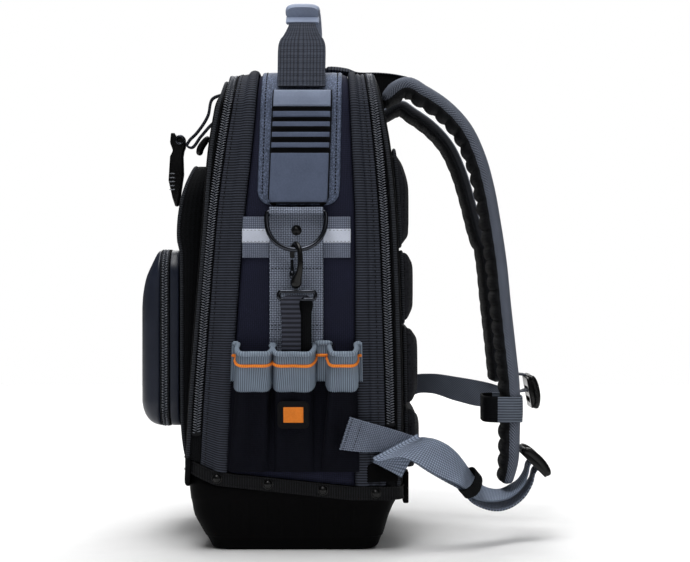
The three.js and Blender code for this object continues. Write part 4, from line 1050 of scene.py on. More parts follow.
    def build(self) -> None:
        """Makes the arch's pieces."""
        half = self.zip_half + GAP
        seam_front, seam_back = outline("front_seam", 0.2), outline("back_seam", -0.2)
        panel = FORM.sheet(seam_front, seam_back, self.panel_lift, 40, 7.0)
        dress("centre_panel", panel, NAVY_NYLON, wall=self.cloth)
        gussets = (
            ("front_gusset", outline("front_zip", half), outline("front_seam", -0.2), self.front_lift, 0.16),
            ("back_gusset", outline("back_seam", 0.2), outline("back_zip", -half), self.back_lift, 0.78),
        )
        for name, front, back, lift, row in gussets:
            cloth = FORM.sheet(front, back, lift, 18, self.rib / 3)
            dress(name, cloth, BLACK_RIB_CLOTH, wall=self.cloth)
            line = FORM.line(lambda z, f=front, b=back, r=row: lerp(f(z), b(z), r), 0.1)
            stitches = beads(along_line(line, 4.8, FORM.out), (3.0, 1.0, 0.9))
            dress(f"{name}_stitching", stitches, DARK_THREAD)
        for name, end in (("front_zip", self.front_zip_end), ("back_zip", self.back_zip_end)):
            low = FORM.share_of(end)
            dress(name, self.zip_tape(outline(name)), BLACK_NYLON, wall=1.6)
            # The coil's grey is painted highlight on black plastic
            dress(f"{name}_coil", self.coil(outline(name), low), LIT_ZIP_COIL)
            dress(f"{name}_stops", self.zip_stops(outline(name), low), BINDING_TAPE)
        covers = (("front", 1.0), ("back", -1.0))
        for end, inward in covers:
            edge = outline(f"{end}_edge")
            shell = self.cover(edge, outline(f"{end}_zip", -inward * half), inward)
            dress(f"{end}_cover", shell, BLACK_NYLON, wall=self.cloth)
            piping = FORM.line(outline(f"{end}_edge", inward * 4.2), 0.4)
            dress(f"{end}_cover_piping", tube(piping, 1.9, Y_AXIS, 8, 5.0), BINDING_TAPE)


@dataclass
class Patch:
    """Grained patch over the top and down both sides."""

    low: float = 330.0
    wall: float = 1.5
    corner: float = 14.0
    front_rows: tuple = ((330.0, -38.0), (460.0, -34.0))
    back_rows: tuple = ((330.0, 40.6), (460.0, 43.0))
    stitch_inset: float = 4.6

    def build(self) -> None:
        """Makes the patch and its two rows of stitches."""
        low = FORM.share_of(self.low)

        def depth(z: float, u: float) -> float:
            return lerp(smooth_read(self.front_rows, z), smooth_read(self.back_rows, z), u)

        def place(u: float, v: float) -> Vector:
            share = lerp(low, 1 - low, v)
            width = depth(self.low, 1) - depth(self.low, 0)
            into = max(0.0, self.corner - min(u, 1 - u) * width)
            rise = self.corner - sqrt(max(0.0, self.corner ** 2 - into ** 2))
            share += (rise / FORM.length) * (1 - ease(0, 0.12, v)) - (rise / FORM.length) * ease(0.88, 1, v)
            edge = min(min(u, 1 - u) * width, min(v, 1 - v) * 400)
            lift = GAP + self.wall - 1.0 * (1 - ease(0, 1.6, edge)) - 0.5 * hump(self.stitch_inset, 1.4, edge)
            return FORM.over(share, depth(FORM.at(share).z, u), lift)

        span = FORM.length * (1 - 2 * low)
        cloth = sheet_mesh(56, 170, place, (80, span))
        dress("top_patch", cloth, GRAINED_PATCH, wall=1.2)
        spots = []
        on_patch = GAP + self.wall - 0.3
        for edge in (0.0, 1.0):
            share = self.stitch_inset / 80
            line = FORM.line(lambda z, e=edge: depth(z, abs(e - share)), on_patch, low + 0.01, 0.99 - low)
            spots += along_line(line, 3.2, lambda s: FORM.out(lerp(low + 0.01, 0.99 - low, s)))
        for side in Side:
            height = self.low + self.stitch_inset
            ends = [FORM.side(side, height, depth(self.low, u), on_patch) for u in (0.14, 0.86)]
            spots += along_line(Line(ends), 3.2, lambda s, k=side: X_AXIS * k.value)
        dress("top_patch_stitching", beads(spots, (2.3, 1.5, 1.2)), DARK_THREAD)


# Front


class Frame(NamedTuple):
    """Upright rectangle with round corners on the front or the back of the body."""

    half: float
    low: float
    high: float
    low_radius: float
    high_radius: float

    def around(self, share: float, inset: float) -> tuple[float, float, float, float]:
        """Point of the frame drawn in by an inset.

        Args:
            share: Share of the frame's girth, from the middle of its lower side.
            inset: How far it is drawn in.

        Returns:
            Across, height, and the direction it faces.
        """
        half = self.half - inset
        low, high = self.low + inset, self.high - inset
        radii = [max(0.5, radius - inset) for radius in (self.low_radius, self.high_radius)]
        flat = [2 * (half - radius) for radius in radii]
        arcs = [pi * radius / 2 for radius in radii]
        tall = high - low - sum(radii)
        mark = share * (flat[0] + flat[1] + 2 * arcs[0] + 2 * arcs[1] + 2 * tall)
        lower, upper = low + radii[0], high - radii[1]
        legs = (
            (flat[0] / 2, (0, low, 1, 0), None), (arcs[0], (half - radii[0], lower), (radii[0], -90)),
            (tall, (half, lower, 0, 1), None), (arcs[1], (half - radii[1], upper), (radii[1], 0)),
            (flat[1], (half - radii[1], high, -1, 0), None),
            (arcs[1], (radii[1] - half, upper), (radii[1], 90)),
            (tall, (-half, upper, 0, -1), None), (arcs[0], (radii[0] - half, lower), (radii[0], 180)),
            (flat[0] / 2 + 1.0, (radii[0] - half, low, 1, 0), None),
        )
        for leg, start, arc in legs:
            if mark > leg:
                mark -= leg
                continue
            if arc is None:
                x, z, dx, dz = start
                return x + dx * mark, z + dz * mark, dz, -dx
            angle = radians(arc[1]) + mark / arc[0]
            across, up = cos(angle), sin(angle)
            return start[0] + arc[0] * across, start[1] + arc[0] * up, across, up
        return 0.0, low, 0.0, -1.0

    def shell(self, rows: Sequence[tuple[float, Reader]], steps: int, crown: Callable[[float, float], float],
              columns: int = 220) -> Shape:
        """Face on a frame: rows round it and then a face drawn in to its middle.

        Args:
            rows: Inset and depth by height of each row, outside first.
            steps: Rows of the face, 0 for an open ring.
            crown: Extra depth of the face for across and height.
            columns: Points around.
        """
        middle_low, middle_high = self.low + self.half * 0.8, self.high - self.half * 0.8
        if middle_low > middle_high:
            middle_low = middle_high = (self.low + self.high) / 2
        total = len(rows) - 1 + steps

        def place(u: float, v: float) -> Vector:
            index = round(v * total)
            inset, depth = rows[min(index, len(rows) - 1)]
            x, z, _, _ = self.around(u, inset)
            if index < len(rows):
                return Vector((x, depth(z), z))
            share = (index - len(rows) + 1) / steps
            x, z = lerp(x, 0.0, share), lerp(z, max(middle_low, min(middle_high, z)), share)
            return Vector((x, depth(z) + crown(x, z) * ease(0, 0.3, share), z))

        girth = 4 * self.half + 2 * (self.high - self.low)
        return sheet_mesh(columns, total, place, (girth, 200), around=True)

    def line(self, inset: float, depth: Reader, count: int = 140) -> Line:
        """Closed line round the frame at a depth."""
        points = []
        for i in range(count):
            x, z, _, _ = self.around(i / count, inset)
            points.append(Vector((x, depth(z), z)))
        return Line(points, closed=True, fine=2)


@dataclass
class FrontCase:
    """Cloth pocket and moulded case on the front."""

    pocket: Frame = Frame(104.0, 84.0, 372.0, 14.0, 34.0)
    pocket_front: tuple = (  # height and depth
        (84, -112.5), (120, -116), (286, -117.2), (298, -119.6), (316, -119.4), (335, -116.8), (350, -113),
        (372, -105),
    )
    case: Frame = Frame(92.0, 114.0, 289.0, 26.0, 26.0)
    case_back: float = -117.7
    zip_back: float = -127.0
    lid_back: float = -137.0
    lid_rows: tuple = (
        (0, -137), (0.6, -140.5), (1.8, -144.2), (3.8, -147.6), (6.8, -150.6), (10.8, -153.2), (15.8, -155.2),
        (21.5, -156.5), (28, -157),
    )
    lid_slope: tuple = (  # height, and share of the lid's depth that is left there
        (232, 1), (245, 0.95), (259, 0.82), (272, 0.6), (280, 0.48), (290, 0.4),
    )
    coil_pitch: float = 2.7

    def upper_pocket(self) -> None:
        """Makes the cloth pocket and its binding."""
        cover = outline("front_edge", -GAP)

        def front(shift: float) -> Reader:
            return lambda z: min(smooth_read(self.pocket_front, z) + shift, cover(z) - 0.1 * (10 - shift))

        edge = ((0.0, 6.0), (0.4, 4.0), (1.8, 2.4), (4.0, 1.2), (7.0, 0.4), (10.0, 0.0))  # inset and shift
        rows = [(0.0, cover)] + [(inset, front(shift)) for inset, shift in edge]
        cloth = self.pocket.shell(rows, 16, lambda x, z: 0.5 * crumple(x, z, 55, 2.1) - 0.5)
        dress("upper_pocket", cloth, BLACK_NYLON, wall=1.8)
        piping = self.pocket.line(1.2, front(3.0))
        dress("upper_pocket_binding", tube(piping, 1.9, Y_AXIS, 8, 5.0), BINDING_TAPE)

    def moulded_case(self) -> None:
        """Makes the back, the zip and the lid of the moulded case."""

        def rows(start: float, *steps: tuple[float, float]) -> list[tuple[float, Reader]]:
            return [(inset, lambda z, y=start + step: y) for inset, step in steps]

        back = rows(self.zip_back, (1.2, 0.0), (0.2, 0.6), (0.0, 2.0))
        back += rows(self.case_back, (0.0, -1.6), (0.4, -0.5), (1.6, 0.0), (12.0, 0.0))
        dress("pod_base", self.case.shell(back, 6, lambda x, z: 0.0), MOULDED_FOAM, wall=2.4)
        tape = rows(self.lid_back, (0.6, GAP), (-0.4, 1.2), (-0.2, 2.6), (0.8, 3.4))
        tape += rows(self.zip_back, (0.8, -3.4), (-0.2, -2.6), (-0.4, -1.2), (0.6, -GAP))
        dress("pod_zip", self.case.shell(tape, 0, lambda x, z: 0.0), BINDING_TAPE, wall=2.0)
        middle = (self.lid_back + self.zip_back) / 2
        girth = self.case.line(0.0, lambda z: middle)
        count = round(girth.length / self.coil_pitch)
        spots = []
        for i in range(2 * count):
            half = 1 if i % 2 else -1
            x, z, face_x, face_z = self.case.around(i / (2 * count), 0.2)
            out = Vector((face_x, 0, face_z))
            slant = (Y_AXIS * half + out.cross(Y_AXIS) * 0.28).normalized()
            spots.append(Spot(Vector((x, middle + 1.6 * half, z)), slant, out))
        # The coil's grey is painted highlight on black plastic
        dress("pod_zip_coil", beads(spots, (4.2, 1.9, 1.8)), LIT_ZIP_COIL)
        lid = [
            (inset, lambda z, front=y: lerp(self.lid_back, front, smooth_read(self.lid_slope, z)))
            for inset, y in self.lid_rows
        ]
        dress("pod_lid", self.case.shell(lid, 10, lambda x, z: -0.5), MOULDED_FOAM, wall=2.6)

    def build(self) -> None:
        """Makes the pieces of the front."""
        self.upper_pocket()
        self.moulded_case()


@dataclass
class BackPads:
    """Four foam pads of the back, blown up by a cloth simulation."""

    half: float = 112.0
    corner: float = 16.0
    rows: tuple = (  # lower end, upper end and depth of the face
        (290.8, 388, 106), (215.8, 288.2, 110.5), (136.8, 213.2, 114.8), (74, 134.2, 116.5),
    )
    edge_rows: tuple = (  # inset, and share of the pad's depth that is reached there
        (2, 0), (0.6, 0.14), (0.2, 0.45), (0.4, 0.74), (1.6, 0.9), (4.5, 0.96), (9, 0.99), (15, 1),
    )
    taper: tuple = (348.0, 388.0)  # heights between which the uppermost pad slopes in
    taper_depth: float = 9.0
    plump: float = 2.5  # how much flatter a pad starts than it ends
    voxel: float = 4.5
    pressure: float = 4.0
    frames: int = 16
    most_move: float = 5.0

    def swell(self, piece: bpy.types.Object) -> None:
        """Blows a pad up with cloth pressure and keeps the result, with every point's move capped.

        Args:
            piece: Closed pad, remeshed.
        """
        rest = [vert.co.copy() for vert in piece.data.vertices]
        cloth = piece.modifiers.new("cloth", "CLOTH")
        cloth.settings.use_pressure = True
        cloth.settings.uniform_pressure_force = self.pressure
        cloth.settings.effector_weights.gravity = 0.0
        cloth.settings.quality = 4
        scene = bpy.context.scene
        for frame in range(1, self.frames + 1):
            scene.frame_set(frame)
        blown = piece.evaluated_get(bpy.context.evaluated_depsgraph_get())
        moved = [vert.co.copy() for vert in blown.data.vertices]
        piece.modifiers.remove(cloth)
        scene.frame_set(1)
        for vert, start, end in zip(piece.data.vertices, rest, moved):
            step = end - start
            if step.length > self.most_move * MM:
                step.length = self.most_move * MM
            vert.co = start + step

    def build(self) -> None:
        """Makes the four pads."""
        seat = outline("back_edge", GAP)
        for number, (low, high, face) in enumerate(self.rows, 1):
            name = f"back_pad_{number}"
            frame = Frame(self.half, low, high, self.corner, self.corner)
            start = face - self.plump

            def depth(share: float, top: float = start) -> Reader:
                return lambda z: lerp(seat(z) + 0.6, top - self.taper_depth * ease(*self.taper, z), share)

            rows = [(inset, depth(share)) for inset, share in self.edge_rows]
            pad = frame.shell(rows, 8, lambda x, z: 0.0, 120)
            bmesh.ops.holes_fill(pad, edges=[edge for edge in pad.edges if edge.is_boundary])
            bmesh.ops.recalc_face_normals(pad, faces=pad.faces)
            piece = dress(name, pad, SPACER_MESH)
            remesh = piece.modifiers.new("voxels", "REMESH")
            remesh.mode = "VOXEL"
            remesh.voxel_size = self.voxel * MM
            remesh.use_smooth_shade = True
            graph = bpy.context.evaluated_depsgraph_get()
            mesh = bpy.data.meshes.new_from_object(piece.evaluated_get(graph))
            piece.modifiers.clear()
            piece.data = mesh
            self.swell(piece)
            smooth = piece.modifiers.new("smooth", "SUBSURF")
            smooth.levels = smooth.render_levels = 1
            line = frame.line(1.6, lambda z: lerp(seat(z), face, 0.22))
            dress(f"{name}_binding", tube(line, 1.8, Y_AXIS, 8, 5.0), BINDING_TAPE)


# Handle


@dataclass
class Handle:
    """Rubber plates, carrying strap and grip."""

    seat: float = 2.4
    lift: float = 6.0
    front: tuple = (-27.8, -23.4)  # at the lower and the upper end
    back: tuple = (30.0, 33.6)
    low: float = 331.0
    high: float = 438.0
    rim: float = 1.2  # width of the shadowed edge
    groove_top: float = 423.4
    groove_pitch: float = 9.95
    groove_width: float = 4.8
    groove_count: int = 5
    groove_depth: float = 3.4
    corner: float = 7.0
    edge: float = 3.0  # width of the rounded edge
    edge_share: float = 0.35  # share of the plate's height where that edge starts
    top_step: tuple = (426.0, 432.0, 0.5)  # heights between which the upper block rises, and by how much
    sleeve: Section = Section(17.0, 7.5, 3.2)
    middle: float = 3.8
    stations: tuple = (
        # across, height, width and thickness of the strap
        (138.6, 444, 46, 2.4), (130, 462, 46, 2.2), (118, 484, 46, 2.4), (113, 491.5, 43, 2.6),
        (108, 498, 35, 2.8), (98, 508, 27, 3.6), (88, 515, 26, 5), (54, 523, 26, 6),
        (0, 526, 26, 6),
    )
    grip_half: float = 90.0
    grip_rise: float = 4.0  # how far the sleeve's ends stand above the strap

    def groove(self, z: float) -> float:
        """Share of a groove's depth at a height."""
        share = 0.0
        half = self.groove_width / 2
        for number in range(self.groove_count):
            middle = self.groove_top - number * self.groove_pitch - half
            share = max(share, 1 - ease(half - 0.5, half + 0.5, abs(z - middle)))
        return share

    def plate(self, side: Side) -> Shape:
        """Rubber plate with cross grooves and round edges.

        Args:
            side: Side of the body.
        """
        span = self.high - self.low
        corner = self.corner

        def place(u: float, v: float) -> Vector:
            front, back, z = lerp(*self.front, v), lerp(*self.back, v), lerp(self.low, self.high, v)
            y = lerp(front, back, u if side is Side.RIGHT else 1 - u)
            inside_y, inside_z = min(y - front, back - y), z - self.low
            pull = max(0.0, corner - inside_z)
            limit = corner - sqrt(max(0.0, corner ** 2 - pull ** 2))
            y = max(front + limit, min(back - limit, y))
            edge = min(max(0.0, inside_y - limit), inside_z, self.high - z, self.edge)
            height = self.lift * lerp(self.edge_share, 1.0, hump(self.edge, self.edge, edge))
            height -= self.groove_depth * self.groove(z) * ease(0.2, 1.2, inside_y)
            height += self.top_step[2] * ease(*self.top_step[:2], z)
            return FORM.side(side, z, y, self.seat + height)

        width = self.back[0] - self.front[0]
        shape = sheet_mesh(44, 160, place, (width, span))
        layer = shape.loops.layers.uv[FLAT]
        for face in shape.faces:
            middle = sum((loop[layer].uv for loop in face.loops), Vector((0, 0))) / len(face.loops) / MM
            # A thin rim of faces round the plate takes the black rubber as painted shadow
            at_rim = min(middle.x, width - middle.x, middle.y, span - middle.y) < self.rim
            z = self.low + middle.y
            # Faces of the upper block above the grooves take the slate painted lighter as painted highlight
            face.material_index = 1 if at_rim or self.groove(z) > 0.4 else 2 if z > self.groove_top else 0
        return shape

    def line(self) -> Line:
        """Middle line of the strap, from the right plate to the left one."""
        half = [Vector((x, self.middle, z)) for x, z, _, _ in self.stations]
        return Line(half + [Vector((-p.x, p.y, p.z)) for p in reversed(half[:-1])], fine=8)

    def strap(self, line: Line) -> Shape:
        """Strap along its middle line, narrower towards the grip."""
        widths = sorted((x, width) for x, _, width, _ in self.stations)
        thicks = sorted((x, thick) for x, _, _, thick in self.stations)

        def section(share: float) -> Section:
            x = abs(line.at(share).x)
            wave = 0.35 * cos(2 * pi * share * line.length / 7.0)
            return Section(smooth_read(widths, x) / 2, smooth_read(thicks, x) / 2 + wave, 5.0)

        return sweep(line, section, Y_AXIS, 40, 1.6, round_ends=False)

    def grip(self, line: Line) -> Shape:
        """Rubber sleeve with round ends about the middle of the strap's line."""
        sleeve = self.along_grip(line, 3.2, self.grip_half)

        def section(share: float) -> Section:
            end = min(share, 1 - share) * sleeve.length
            shrink = 1 - 0.1 * (1 - ease(0, 7, end))
            return Section(self.sleeve.half_width * shrink, self.sleeve.half_thick * shrink, self.sleeve.power)

        return sweep(sleeve, section, Y_AXIS, 48, 1.6, round_ends=False)

    def along_grip(self, line: Line, rise: float, half: float) -> Line:
        """Line above the strap's along the grip, which rises further towards both its ends."""
        inside = [p for p in line.points if abs(p.x) <= half]
        points = [p + Vector((0, 0, rise + self.grip_rise * ease(40, self.grip_half, abs(p.x)))) for p in inside]
        return Line(points[::3], fine=4)

    def lip(self, line: Line) -> Shape:
        """Thin lip where the sleeve closes under the strap's line."""
        run = self.along_grip(line, -2.2, self.grip_half + 7)
        return sweep(run, lambda share: Section(16.2, 1.7, 5.0), Y_AXIS, 32, 3.0, round_ends=False)

    def build(self) -> None:
        """Makes the handle's pieces."""
        for side in Side:
            name = f"handle_plate_{side.label}"
            dress(name, self.plate(side), (SLATE_RUBBER, BLACK_RUBBER_AND_SHADOW, LIT_SLATE_RUBBER), wall=2.0, sharp=70)
        line = self.line()
        dress("handle_strap", self.strap(line), DARK_WEBBING)
        # The grip and its lip take the slate rubber painted lighter as painted highlight
        dress("handle_grip", self.grip(line), LIT_SLATE_RUBBER, sharp=60)
        dress("handle_grip_lip", self.lip(line), LIT_SLATE_RUBBER)


# Side webbing, ring and hook


@dataclass
class SideFittings:
    """Bright strip, webbing, ring, snap hook and lanyard."""

    strip: tuple = (-52.0, 51.0, 280.0, 319.0)
    tape: tuple = (294.4, 307.4)
    webbing: tuple = (-26.0, 25.0, 188.0, 318.8)
    tuck: float = 2.0  # how far the lower end lies closer to the body, behind the pocket
    webbing_middle: float = 153.1
    bar: tuple = (157.1, 323.3)
    bend: float = 4.0
    ring_y: float = -0.5
    ring_half: float = 28.1
    ring_height: float = 36.9
    ring_corner: float = 5.0
    ring_wire: float = 2.3
    ring_tilt: float = 14.0
    hook_turn: float = 60.0
    hook_rows: tuple = (
        # along the hook's plane, height, radius
        (0, 250.5, 3.2), (0, 254, 5), (1, 258, 5.2), (4.5, 263, 3.8), (7.6, 269, 2.8), (8.6, 280, 2.5),
        (6.2, 289.2, 2.4), (0.3, 293, 2.4), (-5.6, 290.2, 2.4), (-7.5, 284.5, 2.3), (-7.6, 279.2, 2.1),
    )
    gate_rows: tuple = (
        (-6.4, 259.6, 1.6), (-6.8, 261.5, 2.7), (-7.4, 265.5, 2.8), (-7.4, 268, 1.7), (-7.6, 278.6, 1.5),
    )
    eye: tuple = (0.5, 17.2, 240.8, 248.1)
    eye_wire: float = 1.9
    lanyard_half: float = 9.0
    lanyard_heights: tuple = (166.0, 195.0, 225.0)  # tucked end, mouth of the pocket and start of the fold
    lanyard_leaves: tuple = (-4.9, 5.0)  # depths of the front and the rear leaf
    stitch_heights: tuple = (270.0, 216.0, 212.0)

    @property
    def hook_x(self) -> float:
        """Distance of the hook's middle from the middle of the body."""
        return self.bar[0] + self.ring_height * sin(radians(self.ring_tilt))

    def strips(self) -> None:
        """Makes the strip of both sides: woven edges with a bright tape sewn along the middle."""
        front, back, low, high = self.strip
        for side in Side:

            def place(u: float, v: float, lift: float, z_low: float, z_high: float, k: Side = side) -> Vector:
                across = u if k is Side.RIGHT else 1 - u
                y, z = lerp(front, back, across), lerp(z_low, z_high, v)
                return Vector((k.value * (FORM.HALF_WIDTH + lift + 0.15 * crumple(y, z, 40, 4.2)), y, z))

            name = f"bright_strip_{side.label}"
            woven = sheet_mesh(60, 24, lambda u, v: place(u, v, 1.6, low, high), (back - front, high - low))
            dress(name, woven, STRIP_WEBBING, wall=1.2)
            tape = sheet_mesh(60, 12, lambda u, v: place(u, v, 2.0 + 0.25 * hump(0.5, 0.55, v), *self.tape),
                              (back - front, 13))
            dress(f"{name}_tape", tape, SILVER_TAPE, wall=0.6)
            spots = []
            for z in (self.tape[0] + 1.2, self.tape[1] - 1.2):
                ends = [Vector((side.value * (FORM.HALF_WIDTH + 2.1), y, z)) for y in (front, back)]
                spots += along_line(Line(ends), 3.6, lambda s, k=side: X_AXIS * k.value)
            dress(f"{name}_stitching", beads(spots, (2.2, 0.8, 0.8)), PALE_THREAD)

    def vertical_webbing(self) -> None:
        """Makes the upright webbing of both sides, which on the right folds over the ring's bar."""
        front, back, low, high = self.webbing
        fold = []
        for i in range(13):
            angle = radians(180 - 17.5 * i)
            fold.append((self.bar[0] + self.bend * cos(angle), self.bar[1] + self.bend * sin(angle)))
        for side in Side:
            heights = [lerp(low, high, i / 16) for i in range(17)]
            run = [(self.webbing_middle - self.tuck * (1 - ease(196, 206, z)), z) for z in heights]
            points = run + fold if side is Side.RIGHT else run
            edges = [Line([Vector((side.value * x, y, z)) for x, z in points], fine=4) for y in (front, back)]
            shape = ribbon_mesh(*(edges if side is Side.RIGHT else edges[::-1]), 2.0, 26, 0.2)
            name = f"side_webbing_{side.label}"
            dress(name, shape, GREY_WEBBING, wall=1.8, offset=0.0, rounding=0.5)
            spots = []
            face = side.value * (self.webbing_middle + 1.0)
            for z in self.stitch_heights:
                ends = [Vector((face, y, z)) for y in (front + 1, back - 1)]
                spots += along_line(Line(ends), 3.2, lambda s, k=side: X_AXIS * k.value)
            dress(f"{name}_stitching", beads(spots, (2.6, 1.0, 0.9)), DARK_THREAD)

    def ring(self) -> None:
        """Makes the D-shaped ring of bent wire."""
        tilt = radians(self.ring_tilt)

        def spot(y: float, down: float) -> Vector:
            return Vector((self.bar[0] + down * sin(tilt), self.ring_y + y, self.bar[1] - down * cos(tilt)))

        bow = []
        for i in range(21):
            angle = radians(9 * i)
            reach = self.ring_corner + (self.ring_height - self.ring_corner) * max(0.0, sin(angle)) ** 0.8
            bow.append(spot(self.ring_half * cos(angle), reach))
        corner = ((0.2, 2.4), (1.1, 0.4), (2.6, 0.0))
        left = [spot(inward - self.ring_half, down) for inward, down in corner]
        right = [spot(self.ring_half - inward, down) for inward, down in reversed(corner)]
        line = Line(bow + left + right, closed=True, fine=6)
        wire = tube(line, self.ring_wire, Vector((cos(tilt), 0, sin(tilt))), 16, 1.2)
        dress("d_ring", wire, GUNMETAL)

    def bent_rod(self, rows: Sequence[tuple[float, float, float]], sides: int = 16) -> Shape:
        """Round rod in the hook's plane.

        Args:
            rows: Place along the plane, height and radius.
            sides: Points around.
        """
        turn = radians(self.hook_turn)
        along, normal = Vector((sin(turn), cos(turn), 0)), Vector((cos(turn), -sin(turn), 0))
        line = Line([Vector((self.hook_x, self.ring_y, z)) + along * a for a, z, _ in rows], fine=8)
        marks = [line.marks[min(len(line.marks) - 1, 8 * i)] for i in range(len(rows))]
        radii = [(mark, row[2]) for mark, row in zip(marks, rows)]

        def section(share: float) -> Section:
            radius = smooth_read(radii, share * line.length)
            return Section(radius, radius)

        return sweep(line, section, normal, sides, 0.8)

    def hook(self) -> None:
        """Makes the hook, its gate, its eye and the lanyard."""
        dress("snap_hook", self.bent_rod(self.hook_rows), GLOSS_PLASTIC)
        dress("hook_gate", self.bent_rod(self.gate_rows), GUNMETAL, body="gate")
        middle, half, low, high = self.eye
        frame = Frame(half, low, high, 2.6, 2.6)
        points = []
        for i in range(72):
            y, z, _, _ = frame.around(i / 72, 0.0)
            points.append(Vector((self.hook_x, middle + y, z)))
        dress("hook_eye", tube(Line(points, closed=True, fine=2), self.eye_wire, X_AXIS, 14, 0.9), GUNMETAL)

        x, bend = self.hook_x, self.eye_wire + GAP + 0.9
        front, rear = self.lanyard_leaves
        tip, mouth, turn = self.lanyard_heights
        bow = []
        for i in range(7):
            angle = radians(30 * i)
            bow.append((x + bend * cos(angle), lerp(front, rear, i / 6), low + bend * sin(angle)))
        rows = [(x - 1.5, front, tip), (x + 1, front, mouth), (x + bend, front, turn)] + bow
        rows += [(x - bend, rear, turn), (x - bend, rear, mouth), (x - 2 * bend, rear, tip)]
        wide = self.lanyard_half
        edges = [Line([Vector((x, y + shift, z)) for x, y, z in rows], fine=6) for shift in (-wide, wide)]
        shape = ribbon_mesh(*edges, 1.0, 14)
        # The rear leaf takes black cloth as painted shade of the same webbing
        for face in shape.faces:
            face.material_index = 1 if face.calc_center_median().x < (self.hook_x - bend + 1) * MM else 0
        dress("lanyard", shape, (DARK_RIB_WEBBING, BLACK_NYLON), wall=1.7, offset=0.0, rounding=0.4)

    def rivet(self) -> None:
        """Makes the rivet that holds the webbing's fold below the ring's bar."""
        base = Base()
        shape = base.rivet(Side.RIGHT, 0.0)
        start = Vector((base.band_half + base.band_wall + GAP, 0.0, FORM.band_top(0.0) - base.band_height / 2))
        move = (Vector((self.webbing_middle + 0.9, -0.4, 306.0)) - start) * MM
        bmesh.ops.translate(shape, verts=shape.verts, vec=move)
        dress("side_webbing_rivet", shape, GLOSS_PLASTIC)

    def build(self) -> None:
        """Makes the fittings of both sides."""
        self.strips()
        self.vertical_webbing()
        self.rivet()
        self.ring()
        self.hook()


# Side pockets


class Pleat(NamedTuple):
    """Fold line of the pocket cloth: depth at the mouth and at the base, and how far it stands out."""

    mouth: float
    base: float
    out: float


